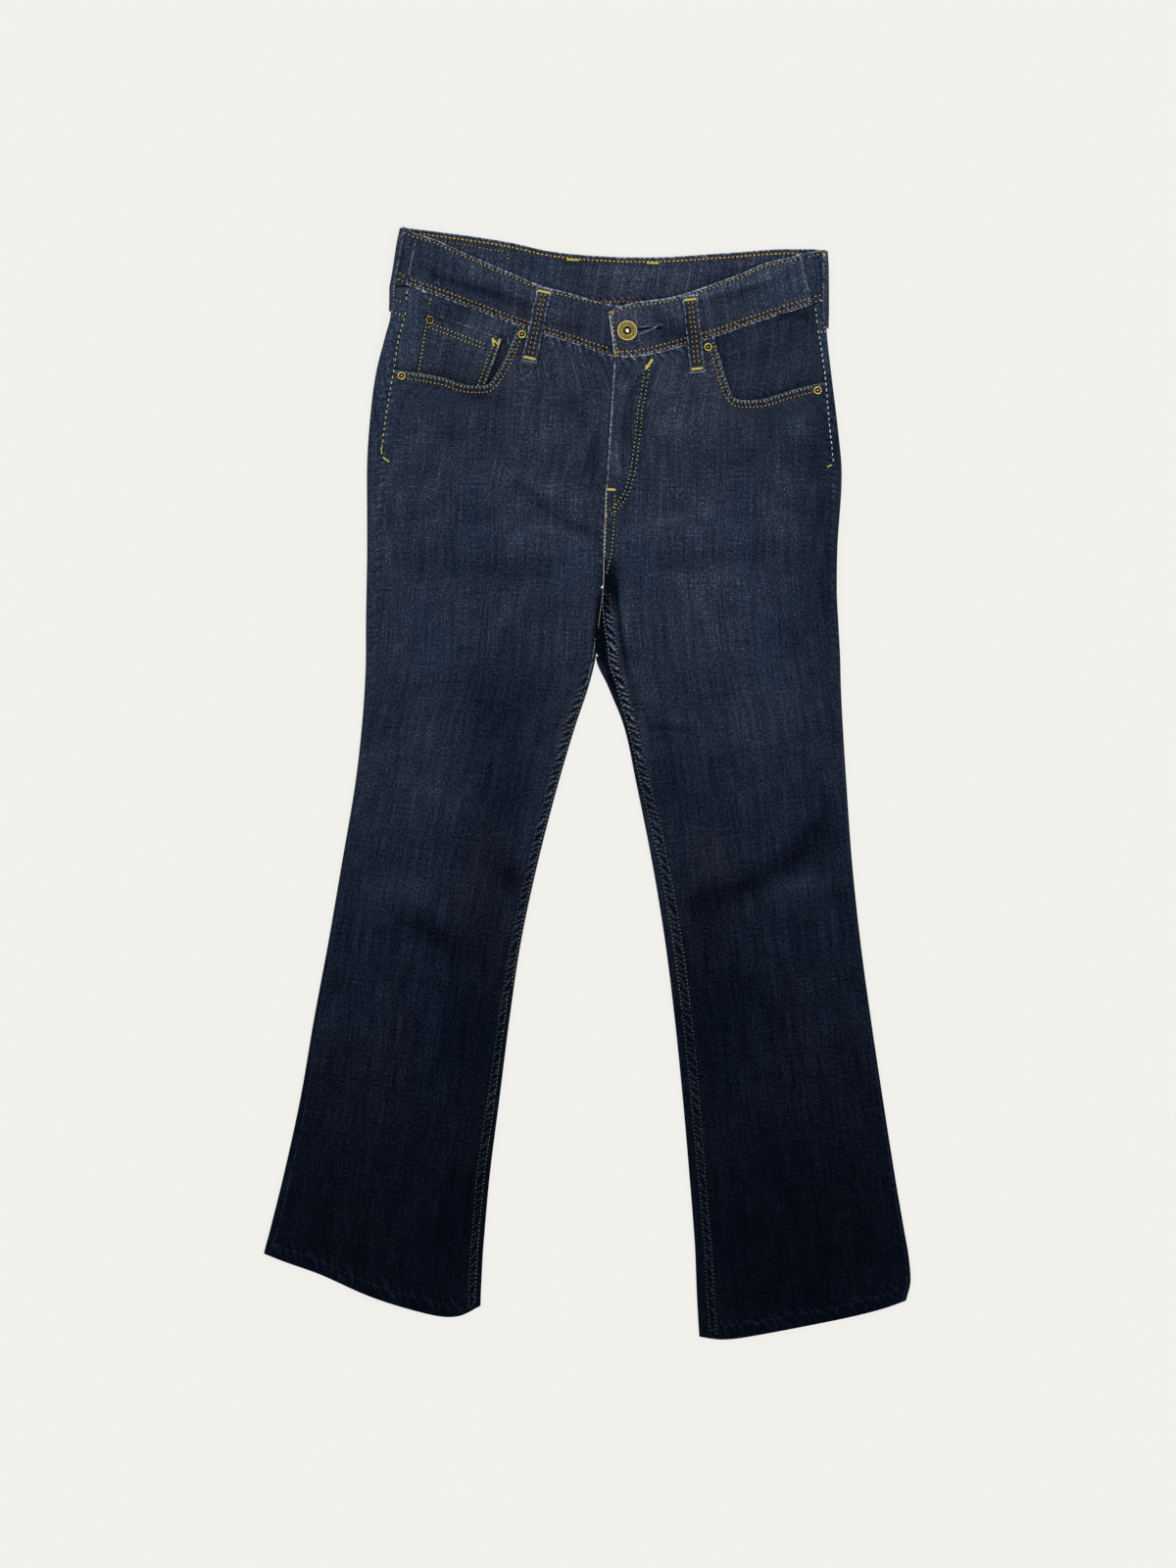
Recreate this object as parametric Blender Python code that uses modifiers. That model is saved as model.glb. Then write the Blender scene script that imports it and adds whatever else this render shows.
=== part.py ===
"""Bootcut jeans laid flat on their back, front side up, as a set of sewn pieces.

The frame is in metres: +X to the wearer's left, +Y to the waist, +Z up from the surface they lie on.
Tables and functions below are in millimetres, and every piece is turned to metres when it is made.
Right and left are the wearer's. Each leg is a flattened tube: a front panel on top, and a back panel
that lies beneath it and wraps round both of its sides, as far as the outseam and the inseam.
"""

import math

import bmesh
import bpy
import numpy as np
from mathutils import Vector

MM = 0.001

# Cloth
WALL = 1.2
HEM_WALL = 2.2
BAND_WALL = 2.0
FACING_WALL = 1.0
LOOP_WALL = 1.5
SEAM_GAP = 0.3
LAYER_GAP = 0.4
WAIST_GAP = 0.8

# Levels along the body, measured up from the middle of its length
CROTCH_SEAM_Y = 183.0
CROTCH_GAP_Y = 119.0
FLY_END_Y = 275.0
CLOSING_START_Y = 230.0
YOKE_SAG_START_Y = 290.0
HEM_BAND = 24.0
HEM_RISE = 1.0

# The upper side's crown over its folded sides, and how far in from them its creases fade
CROWN = 0.8
CROWN_RAMP = 40.0
CREASE_FADE = 14.0
FOLD_TURNS = (0.0, 0.25, 0.5, 0.75, 1.0)

# Where each side's edges run at a level: the sides of the silhouette, and the line between the halves
OUTLINE_COLUMNS = ("y", "right_outer", "right_inner", "left_inner", "left_outer")
OUTLINE = (
    (470, -183.7, 27.5, 27.5, 224.4),
    (440, -184.5, 27.5, 27.5, 224.4),
    (420, -189.5, 26.5, 26.5, 225.5),
    (385, -198.3, 25.0, 25.0, 229.4),
    (330, -204.9, 21.2, 21.2, 236.0),
    (290, -206.8, 18.6, 18.6, 239.3),
    (220, -206.6, 16.0, 16.0, 235.2),
    (183, -207.2, 15.0, 15.0, 234.7),
    (150, -207.8, 11.0, 11.0, 236.2),
    (119, -207.9, 8.3, 8.3, 237.9),
    (91, -208.9, 1.6, 19.6, 238.6),
    (54, -211.6, -10.8, 34.4, 240.4),
    (0, -217.8, -26.8, 46.2, 243.8),
    (-75, -230.4, -46.2, 61.2, 249.2),
    (-148, -242.9, -61.8, 73.2, 256.9),
    (-222, -256.7, -72.8, 82.4, 266.9),
    (-295, -269.2, -82.0, 89.8, 277.8),
    (-369, -285.3, -91.4, 96.2, 289.4),
    (-424, -299.0, -96.4, 100.6, 298.8),
    (-442, -303.6, -97.8, 101.7, 302.0),
    (-467, -305.8, -99.1, 102.6, 304.2),
    (-486, -306.6, -99.9, 103.4, 300.0),
    (-520, -307.6, -100.4, 105.4, 293.0),
)

# How far the seams lie from the silhouette, and how far a section's inner end drops below its outer
SEAM_COLUMNS = (
    "y", "right_outseam", "right_inseam", "right_drop", "left_outseam", "left_inseam", "left_drop",
)
SEAMS = (
    (470, 16.0, 2.0, 0, 15.5, 2.0, 0),
    (445, 14.5, 2.0, 0, 10.5, 2.0, 0),
    (420, 13.8, 2.0, 0, 8.3, 2.0, 0),
    (385, 17.0, 2.0, 0, 6.8, 2.0, 0),
    (330, 14.7, 2.0, 0, 8.3, 2.0, 0),
    (290, 13.0, 2.0, 0, 8.0, 2.0, 0),
    (220, 10.6, 2.0, 0, 5.2, 2.0, 0),
    (183, 10.0, 3.6, 0, 4.0, 2.0, 0),
    (150, 8.5, 3.6, 0, 3.6, 9.0, 0),
    (119, 7.3, 3.6, 0, 3.6, 16.0, 0),
    (85, 5.0, 3.6, 10, 3.6, 10.5, 10),
    (50, 3.6, 3.6, 19, 3.6, 8.0, 19),
    (-38, 3.8, 3.6, 27, 3.6, 8.0, 26),
    (-111, 4.6, 3.6, 30, 3.6, 8.5, 28),
    (-258, 6.2, 3.6, 33, 3.6, 9.2, 31),
    (-332, 7.0, 4.2, 35, 3.6, 11.0, 34),
    (-400, 7.2, 4.6, 41, 3.8, 13.0, 37),
    (-442, 6.4, 4.8, 49, 4.0, 14.0, 37),
    (-486, 6.4, 4.8, 50, 4.6, 14.7, 34),
)

# The height of the underside above the surface, which pockets and loops hold off it, and the whole height
STACK_COLUMNS = ("y", "base", "height")
STACK = (
    (520, 1.9, 5.0),
    (412, 1.9, 5.0),
    (390, 1.5, 5.0),
    (205, 1.5, 5.0),
    (150, 0.5, 4.8),
    (110, 0.0, 4.6),
    (0, 0.0, 4.4),
    (-200, 0.0, 4.2),
    (-520, 0.0, 4.2),
)

# Levels of each half's sections from the yoke seam to the crotch, and of its hem's outer end
HIP_LEVELS = {
    "right": (444, 416, 387.5, 369.75, 352, 330, 305, 280, 255, 230, 206, 183, 162, 140, 119),
    "left": (427, 401, 376, 357, 338, 318, 298, 277, 255, 230, 206, 183, 162, 140, 119),
}
HEM_END_Y = {"right": -442.0, "left": -486.0}
LEG_STEP = 25.0

# The hem's line below the straight one between its ends, at fractions of the way across
HEM_COLUMNS = ("across", "right", "left")
HEM_SAG = (
    (0.0, 0.0, 0.0),
    (0.1, -3.0, -3.5),
    (0.25, -6.5, -6.0),
    (0.5, -16.5, -7.5),
    (0.75, -19.5, -8.0),
    (0.9, -14.5, -6.0),
    (1.0, 0.0, 0.0),
)
HEM_SAG_REACH = 110.0

# The waistband's edges. The front dips, so that the back's inner face shows above it
FRONT_SEAM = (
    (-182, 472), (-120, 449.5), (-58, 426.5), (-15, 413), (18, 402), (36, 399.2),
    (60, 401.8), (91, 410), (120, 418.5), (166, 434.5), (227, 453.5),
)
FRONT_EDGE_RIGHT = (
    (-174, 519.5), (-141, 509.5), (-114, 497), (-74.5, 480.2), (-47, 468.3), (-15, 459.5), (20, 452.6),
    (60, 446),
)
FRONT_EDGE_LEFT = (
    (20, 441.6), (25, 444.5), (37, 449), (81, 456.3), (110, 465.5), (145, 478.4), (169, 488.5), (199, 495),
    (224, 500),
)
BACK_EDGE = (
    (-174, 521.8), (-150, 519), (-73, 507.9), (-36, 499.6), (19, 494.5), (59, 493.8), (131, 497.8),
    (188, 501.5), (224, 501.3),
)
BACK_SEAM = ((-184, 466), (-100, 456), (19, 448), (120, 450), (224.4, 453.5))
YOKE_DEPTH = 64.0
BAND_HEIGHT = 5.4
BAND_FOLD = {"right": ((-174.0, 521.9), (-183.7, 466.0)), "left": ((224.3, 500.3), (224.4, 454.0))}
BAND_JOIN = {"right": ((-161.0, 516.0), (-170.5, 468.0)), "left": ((201.0, 497.3), (211.5, 449.0))}
BAND_LEVEL_Y = 480.0

# The fly and the waistband's lap over it: its free end, how far the under side reaches, and its rise
LAP_END_X = 20.0
LAP_REACH = 45.0
LAP_RISE = 1.8
LAP_END_LEAN = 5.5
LAP_DIP = 3.0
LAP_DIP_LENGTH = 40.0
LAP_SINK_START = 35.0
LAP_SINK_LENGTH = 30.0
FLY_LAP = 11.0
FLY_LAP_START = 30.0
FLY_RISE = 1.0
FLY_RISE_RAMP = 20.0
FLY_SINK_START_Y = FLY_END_Y - 45.0
FLY_SINK_LENGTH = 22.0
FLY_SINK_RAMP = 30.0

# The pocket openings' edges, from the outseam to the waist seam
SCOOP = {
    "right": ((-180.6, 387.5), (-138, 381), (-108, 373), (-96, 373), (-84, 385.5), (-75.5, 402), (-69, 417.5),
              (-65.5, 428.9)),
    "left": ((220.6, 376), (187.7, 367.5), (165.6, 360.6), (147, 359.3), (137.1, 363.4), (130.6, 380),
             (123.3, 404), (119.5, 418.1)),
}
SCOOP_X = {
    "right": (-180.6, -160, -138, -118, -102, -92, -84, -77, -71, -65.5, -40, -12, 8),
    "left": (220.6, 204, 187.7, 172, 157, 146, 138, 132.5, 127, 119.5, 90, 64, 46, 36),
}
SCOOP_COLUMNS = 10
SCOOP_FOOT = {"right": 352.0, "left": 338.0}
FACING_UNDER = 13.0
FACING_BEYOND = 15.0
FACING_HEAD_INSET = 12.0
FACING_LEVELS_END = 20.0
FACING_CLEARANCE = 0.5
FACING_SINK = 1.6
FACING_RAMP = 22.0

# The coin pocket's corners: top outer, top inner, bottom inner, bottom outer
COIN_POCKET = ((-150, 443.4), (-80, 416.8), (-98.5, 364), (-162, 373))
COIN_WALL = 1.0
COIN_SEAT = 0.1
COIN_RISE = 1.5
COIN_RISE_X = (-168, -92, 14)
COIN_RISE_Y = (358, 400, 16)

# The largest creases of the upper side: the two ends (x, y), the half width and the rise
CREASES = (
    (-106, 242, 6, 230, 11, 0.7),
    (-150, 205, -10, 200, 13, -0.5),
    (30, 226, 225, 272, 12, 0.7),
    (34, 205, 200, 215, 13, -0.5),
    (28, 196, 45, 75, 7, 0.9),
    (50, 47, 96, 46, 10, -0.6),
    (-205, -92, -140, -118, 14, 1.0),
    (-188, -114, -126, -160, 11, -0.8),
    (-90, -70, -60, -110, 13, -0.6),
    (104, -112, 172, -88, 11, -0.8),
    (172, -88, 234, -18, 12, -0.7),
    (186, -104, 226, -88, 14, 1.0),
    (-215, 20, -120, 60, 16, 0.6),
    (120, 40, 225, 75, 16, 0.6),
    (-240, -200, -150, -235, 15, 0.6),
    (120, -210, 230, -185, 15, 0.6),
)

BUTTON_AT = (37.7, 424.1)
BUTTON_SHANK = 2.1
BUTTONHOLE_END_X = 71.0
BUTTONHOLE_WIDTH = 2.4
BUTTONHOLE_TILT = 6.0
CUTTER_HEIGHT = 12.0
BUTTON_PROFILE = (
    (0.0, 2.9), (1.4, 2.8), (2.2, 2.3), (4.6, 2.3), (7.2, 3.0), (8.2, 3.6), (9.3, 3.5), (10.0, 2.6),
    (9.8, 1.2), (8.6, 0.5), (BUTTON_SHANK, 0.5), (BUTTON_SHANK, -2.3), (0.0, -2.3),
)
RIVET_PROFILE = (
    (0.0, 1.5), (0.8, 1.4), (1.2, 0.7), (2.4, 0.7), (3.0, 1.5), (3.7, 1.5), (4.3, 0.9), (4.4, 0.0),
    (0.0, 0.0),
)
RIVET_REACH = 4.0
RIVETS = {
    "rivet_coin_pocket": (-147.2, 434.2),
    "rivet_right_side": (-174.0, 382.0),
    "rivet_right_front": (-61.0, 421.0),
    "rivet_left_front": (113.6, 409.0),
    "rivet_left_side": (216.5, 368.5),
}

LOOP_WIDTH = 13.4
LOOP_END_FLARE = 1.2
LOOP_LENGTH = 74.0
FRONT_LOOPS = {
    "loop_front_right": ((-39.6, 465.0), (-54.7, 394.7)),
    "loop_front_left": ((96.1, 457.8), (104.0, 384.6)),
}
BACK_LOOPS = {"loop_back_right": (-12.9, 495.0), "loop_back_left": (62.6, 492.0)}
SIDE_LOOPS = {"loop_side_right": "right", "loop_side_left": "left"}
SIDE_LOOP_FOOT_Y = {"right": 443.0, "left": 427.0}
SIDE_LOOP_OVER = 0.5
SIDE_LOOP_GAP = 0.35
SIDE_LOOP_COLUMNS = ("down", "right", "left")
SIDE_LOOP_STAND = ((0.0, 0.0, 0.0), (0.2, 0.5, 0.9), (0.5, 0.0, 1.1), (0.8, 0.1, 1.1), (1.0, 0.0, 0.3))
LOOP_ARCH = 1.4
LOOP_SEAT = 0.3
LOOP_EDGE_DIP = 0.25

BACK_POCKETS = {"back_pocket_right": (-94.0, 371.0, 2.0), "back_pocket_left": (127.0, 371.0, -2.0)}
POCKET_WIDTH = 142.0
POCKET_FOOT_WIDTH = 124.0
POCKET_SIDE = 128.0
POCKET_POINT = 150.0

DENIM = (0.020, 0.028, 0.052)
DENIM_DARK = (0.014, 0.019, 0.036)
BRASS = (0.50, 0.38, 0.18)


def smoothstep(value):
    value = min(max(value, 0.0), 1.0)
    return value * value * (3 - 2 * value)


def curve_through(points):
    """A smooth reading y(x) through the points, with no overshoot between them."""
    xs, ys = np.array(sorted(points), float).T
    slopes = np.diff(ys) / np.diff(xs)
    tangents = np.concatenate([[slopes[0]], (slopes[1:] + slopes[:-1]) / 2, [slopes[-1]]])
    for index in range(1, len(xs) - 1):
        before, after = slopes[index - 1], slopes[index]
        if before * after <= 0:
            tangents[index] = 0.0
            continue
        limit = 3 * min(abs(before), abs(after))
        tangents[index] = math.copysign(min(abs(tangents[index]), limit), before)

    def read(x):
        x = min(max(x, xs[0]), xs[-1])
        index = int(np.clip(np.searchsorted(xs, x) - 1, 0, len(xs) - 2))
        span = xs[index + 1] - xs[index]
        t = (x - xs[index]) / span
        start = (1 + 2 * t) * (1 - t) ** 2 * ys[index] + t * (1 - t) ** 2 * span * tangents[index]
        end = t * t * (3 - 2 * t) * ys[index + 1] + t * t * (t - 1) * span * tangents[index + 1]
        return float(start + end)

    return read


def table_curves(columns, rows):
    return {
        name: curve_through([(row[0], row[index]) for row in rows])
        for index, name in enumerate(columns)
        if index
    }


EDGE = table_curves(OUTLINE_COLUMNS, OUTLINE)
SEAM = table_curves(SEAM_COLUMNS, SEAMS)
LAYERS = table_curves(STACK_COLUMNS, STACK)
SAG = table_curves(HEM_COLUMNS, HEM_SAG)
FRONT_SEAM_Y = curve_through(FRONT_SEAM)
BACK_SEAM_Y = curve_through(BACK_SEAM)
BACK_EDGE_Y = curve_through(BACK_EDGE)
FRONT_EDGE_Y = {"right": curve_through(FRONT_EDGE_RIGHT), "left": curve_through(FRONT_EDGE_LEFT)}
SCOOP_Y = {half: curve_through(points) for half, points in SCOOP.items()}


def hem_y(half, x):
    """The hem's level at x."""
    outer_y = HEM_END_Y[half]
    inner_y = outer_y - SEAM[half + "_drop"](outer_y)
    outer_x = EDGE[half + "_outer"](outer_y)
    inner_x = EDGE[half + "_inner"](inner_y)
    across = min(max((x - outer_x) / (inner_x - outer_x), 0.0), 1.0)
    return outer_y + (inner_y - outer_y) * across + SAG[half](across)


def hem_share(half, x, y):
    """1 at the hem's edge and 0 above its turned-up band."""
    return smoothstep(1 - (y - hem_y(half, x)) / HEM_BAND)


def closed_share(y):
    """0 where both halves are one body, and 1 where each leg is a tube of its own."""
    return smoothstep((CLOSING_START_Y - y) / (CLOSING_START_Y - CROTCH_SEAM_Y))


def crease_rise(x, y):
    total = 0.0
    for x0, y0, x1, y1, width, rise in CREASES:
        along = Vector((x1 - x0, y1 - y0))
        offset = Vector((x - x0, y - y0))
        share = offset.dot(along) / along.length_squared
        nearest = along * min(max(share, 0.0), 1.0)
        distance = (offset - nearest).length
        taper = 0.45 + 0.55 * math.sin(math.pi * min(max(share, 0.0), 1.0))
        total += rise * taper * math.exp(-((distance / width) ** 2))
    return total


def plateau(value, low, high, ramp):
    """1 between low and high, falling smoothly to 0 over the ramp outside them."""
    outside = max(low - value, value - high, 0.0)
    return smoothstep(1 - outside / ramp)


def coin_rise(x, y):
    """The front panel's rise over the end of the coin pocket beneath it."""
    return COIN_RISE * plateau(x, *COIN_RISE_X) * plateau(y, *COIN_RISE_Y)


def fly_rise(x, y):
    """The rise of the left front over the right one beneath it."""
    middle = EDGE["right_inner"](y)
    over_lap = plateau(x, middle - 2, middle + FLY_LAP + 8, FLY_RISE_RAMP)
    return FLY_RISE * over_lap * smoothstep((y - FLY_END_Y + 10) / 40)


def side_height(half, x, y):
    """The height of the folded side at a level."""
    return LAYERS["height"](y) + HEM_RISE * hem_share(half, x, y)


def skin_top(half, x, y, with_coin=True):
    """The height of the upper side's outer face."""
    height = side_height(half, x, y)
    radius = height / 2
    from_outer = abs(x - EDGE[half + "_outer"](y)) - radius
    from_inner = abs(x - EDGE[half + "_inner"](y)) - radius
    closed = closed_share(y)
    crown = smoothstep(from_outer / CROWN_RAMP)
    crown *= 1 - closed + closed * smoothstep(from_inner / CROWN_RAMP)
    soft_edge = smoothstep(from_outer / CREASE_FADE)
    soft_edge *= 1 - closed + closed * smoothstep(from_inner / CREASE_FADE)
    rise = crease_rise(x, y) + fly_rise(x, y)
    if with_coin:
        rise += coin_rise(x, y)
    return LAYERS["base"](y) + height + CROWN * crown + rise * soft_edge


class Section:
    """One section across a half of the garment, from its outer side to its inner one."""

    def __init__(self, half, outer_y):
        self.half = half
        inner_y = outer_y - SEAM[half + "_drop"](outer_y)
        self.outer_y = outer_y
        self.outer = Vector((EDGE[half + "_outer"](outer_y), outer_y))
        self.inner = Vector((EDGE[half + "_inner"](inner_y), inner_y))
        self.width = (self.inner - self.outer).length
        self.across = (self.inner - self.outer) / self.width
        self.outseam = SEAM[half + "_outseam"](outer_y)
        self.inseam = SEAM[half + "_inseam"](outer_y)
        above_hem = outer_y - HEM_END_Y[half]
        self.hem_sag = smoothstep(1 - above_hem / HEM_SAG_REACH)
        hip = smoothstep((outer_y - YOKE_SAG_START_Y) / (HIP_LEVELS[half][0] - YOKE_SAG_START_Y))
        self.yoke_sag = YOKE_DEPTH * hip

    def flat(self, distance):
        """The place at a distance from the outer side, seen from above."""
        place = self.outer + self.across * distance
        place.y += SAG[self.half](min(max(distance / self.width, 0.0), 1.0)) * self.hem_sag
        return place

    def top(self, distance, lowered=0.0, sideways=0.0):
        place = self.flat(distance)
        height = skin_top(self.half, place.x, place.y)
        return (place.x + sideways, place.y, height - lowered)

    def under(self, distance):
        place = self.flat(distance)
        share = distance / self.width
        place.y -= self.yoke_sag * share ** 1.1
        if self.yoke_sag:
            place.x += (EDGE[self.half + "_inner"](place.y) - self.inner.x) * share
        return (place.x, place.y, LAYERS["base"](place.y))

    def fold(self, turn, inner=False):
        """A point of the folded side: turn is 0 on top, 0.5 at the silhouette and 1 underneath."""
        angle = math.pi * (0.5 + turn)
        end = self.flat(self.width if inner else 0.0)
        radius = side_height(self.half, end.x, end.y) / 2
        distance = radius * (1 + math.cos(angle))
        place = self.flat(self.width - distance if inner else distance)
        return (place.x, place.y, LAYERS["base"](place.y) + radius + radius * math.sin(angle))

    def radius(self, inner=False):
        end = self.flat(self.width if inner else 0.0)
        return side_height(self.half, end.x, end.y) / 2


def leg_sections(half):
    hem = HEM_END_Y[half]
    count = round((CROTCH_GAP_Y - hem - HEM_BAND) / LEG_STEP)
    levels = list(np.linspace(CROTCH_GAP_Y, hem + HEM_BAND, count + 1))[1:]
    levels += [hem + HEM_BAND / 2, hem]
    return [Section(half, level) for level in levels]


def make_material(name, colour, roughness, metallic=0.0):
    material = bpy.data.materials.new(name)
    material.use_nodes = True
    shader = material.node_tree.nodes["Principled BSDF"]
    shader.inputs["Base Color"].default_value = (*colour, 1)
    shader.inputs["Roughness"].default_value = roughness
    shader.inputs["Metallic"].default_value = metallic
    material.diffuse_color = (*colour, 1)
    return material


def link_part(obj, material):
    obj.data.materials.append(material)
    PARTS.objects.link(obj)
    return obj


def cloth(name, rows, wall, material, flip=False, keep=None, thick=None, thin_wall=None):
    """A wall whose outer face passes through a grid of points, in millimetres.

    keep(row, column) says which of the grid's faces there are. thick(row, column), from 0 to 1, blends
    from thin_wall to wall.
    """
    mesh = bpy.data.meshes.new(name)
    shape = bmesh.new()
    points = {}
    weights = {}

    def point(row, column):
        if (row, column) not in points:
            points[row, column] = shape.verts.new(Vector(rows[row][column]) * MM)
            weights[row, column] = thick(row, column) if thick else 1.0
        return points[row, column]

    for row in range(len(rows) - 1):
        for column in range(len(rows[0]) - 1):
            if keep and not keep(row, column):
                continue
            ring = [(row, column), (row + 1, column), (row + 1, column + 1), (row, column + 1)]
            if flip:
                ring.reverse()
            shape.faces.new([point(*place) for place in ring])
    shape.verts.index_update()
    shape.to_mesh(mesh)
    order = {place: vertex.index for place, vertex in points.items()}
    shape.free()
    obj = link_part(bpy.data.objects.new(name, mesh), material)
    solidify = obj.modifiers.new("wall", "SOLIDIFY")
    solidify.thickness = wall * MM
    solidify.offset = -1
    solidify.use_even_offset = True
    if thick:
        group = obj.vertex_groups.new(name="turned up")
        for place, index in order.items():
            group.add([index], weights[place], "REPLACE")
        solidify.vertex_group = group.name
        solidify.thickness_vertex_group = thin_wall / wall
    mesh.shade_smooth()
    return obj


def turned(name, profile, place, lift, material, steps=32):
    """A round piece from its profile of radius and height, run from the axis over its top and down."""
    mesh = bpy.data.meshes.new(name)
    shape = bmesh.new()
    ring = [shape.verts.new((radius * MM, 0, height * MM)) for radius, height in profile]
    for start, end in zip(ring, ring[1:]):
        shape.edges.new((start, end))
    shape.to_mesh(mesh)
    shape.free()
    obj = link_part(bpy.data.objects.new(name, mesh), material)
    obj.location = (place[0] * MM, place[1] * MM, lift * MM)
    screw = obj.modifiers.new("turn", "SCREW")
    screw.steps = steps
    screw.render_steps = steps
    screw.use_merge_vertices = True
    screw.merge_threshold = 1e-5
    return obj


def make_back_panel(half):
    """The back of one half: outseam, outer fold, underside, inner fold and inseam."""
    sections = [Section(half, level) for level in HIP_LEVELS[half]] + leg_sections(half)
    closing_y = CROTCH_SEAM_Y if half == "right" else CROTCH_GAP_Y
    under_shares = (0.25, 0.5, 0.75)
    rows = []
    for section in sections:
        closed = section.outer_y <= closing_y
        radius = section.radius()
        end = section.width - (section.radius(True) if closed else SEAM_GAP / 2)
        row = [section.top(section.outseam - SEAM_GAP / 2)]
        row += [section.fold(turn) for turn in FOLD_TURNS]
        row += [section.under(radius + (end - radius) * share) for share in under_shares]
        if closed:
            row += [section.fold(turn, True) for turn in reversed(FOLD_TURNS)]
        else:
            row += [section.under(end)] * (len(FOLD_TURNS) - 1) + [section.top(end)]
        row += [section.top(section.width - section.inseam + SEAM_GAP / 2)]
        rows.append(row)
    last_under = 1 + len(FOLD_TURNS) + len(under_shares)
    first_tongue = last_under + len(FOLD_TURNS) - 1

    def keep(row, column):
        level = sections[row].outer_y
        if column < last_under or level <= closing_y:
            return True
        return half == "left" and column >= first_tongue and level <= CROTCH_SEAM_Y

    def thick(row, column):
        place = rows[row][column]
        return hem_share(half, place[0], place[1])

    flip = half == "right"
    material = MATERIALS["back_" + half]
    return cloth("back_" + half, rows, HEM_WALL, material, flip, keep, thick, WALL)


def front_inner_end(section):
    """Where a front panel's inner edge lies, and how far it sinks there under the other front."""
    if section.outer_y <= CROTCH_SEAM_Y:
        return section.width - section.inseam - SEAM_GAP / 2, 0.0
    if section.half == "left":
        return section.width - SEAM_GAP / 2, 0.0
    lap = smoothstep((section.outer_y - FLY_END_Y) / FLY_LAP_START)
    sink = smoothstep((section.outer_y - FLY_SINK_START_Y) / FLY_SINK_LENGTH)
    return section.width - SEAM_GAP / 2 + (FLY_LAP + SEAM_GAP) * lap, (WALL + LAYER_GAP) * sink


def make_front_panel(half):
    """The front of one half: waist seam, pocket scoop, outseam, hem, inseam, crotch seam and fly."""
    top_x = [*SCOOP_X[half], EDGE[half + "_inner"](400)]
    shares = [abs(x - top_x[0]) / abs(top_x[-1] - top_x[0]) for x in top_x]
    sections = [Section(half, level) for level in HIP_LEVELS[half] if level <= SCOOP_FOOT[half]]
    sections += leg_sections(half)
    rows = []
    for section in sections:
        start = section.outseam + SEAM_GAP / 2
        end, sink = front_inner_end(section)
        row = []
        for share in shares:
            distance = start + (end - start) * share
            lowered = sink * smoothstep(1 - (section.width - 1 - distance) / FLY_SINK_RAMP)
            row.append(section.top(distance, lowered))
        rows.append(row)
    end, sink = front_inner_end(Section(half, 395))
    width = Section(half, 395).width
    toward_inner = 1 if half == "right" else -1
    top_row, middle_row = [], []
    for index, (x, share) in enumerate(zip(top_x, shares)):
        below = Vector(rows[0][index])
        beyond = toward_inner * (end - width) * smoothstep((share - 0.8) / 0.2)
        x += beyond
        scooped = share <= shares[SCOOP_COLUMNS - 1]
        y = SCOOP_Y[half](x) if scooped else FRONT_SEAM_Y(x) - WAIST_GAP
        if index == 0:
            edge = Section(half, y)
            x = edge.flat(edge.outseam + SEAM_GAP / 2).x
        lowered = sink * smoothstep(1 - (top_x[-1] - 1 - x) / FLY_SINK_RAMP)
        top_row.append((x, y, skin_top(half, x, y) - lowered))
        middle = (Vector((x, y, 0)) + below) / 2
        if index == 0:
            edge = Section(half, middle.y)
            middle.x = edge.flat(edge.outseam + SEAM_GAP / 2).x
        top_z = skin_top(half, middle.x, middle.y) - lowered
        middle_row.append((middle.x, middle.y, top_z))
    rows = [top_row, middle_row] + rows

    def thick(row, column):
        place = rows[row][column]
        return hem_share(half, place[0], place[1]) if row > 4 else 0.0

    flip = half == "left"
    material = MATERIALS["front_" + half]
    return cloth("front_" + half, rows, HEM_WALL, material, flip, None, thick, WALL)


def scoop_distance(half, x, y):
    """How far a place lies inside the pocket's opening from its edge, below 0 under the front panel."""
    low, high = sorted((SCOOP[half][0][0], SCOOP[half][-1][0]))
    places = [(place, SCOOP_Y[half](place)) for place in np.linspace(low, high, 60)]
    nearest = min(math.hypot(x - px, y - py) for px, py in places)
    beyond_end = x > high if half == "right" else x < low
    inside = y > SCOOP_Y[half](x) and not beyond_end
    return nearest if inside else -nearest


def facing_top(half, x, y):
    sink = FACING_SINK * smoothstep(1 - (scoop_distance(half, x, y) - 3) / FACING_RAMP)
    return skin_top(half, x, y, False) - sink


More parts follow.
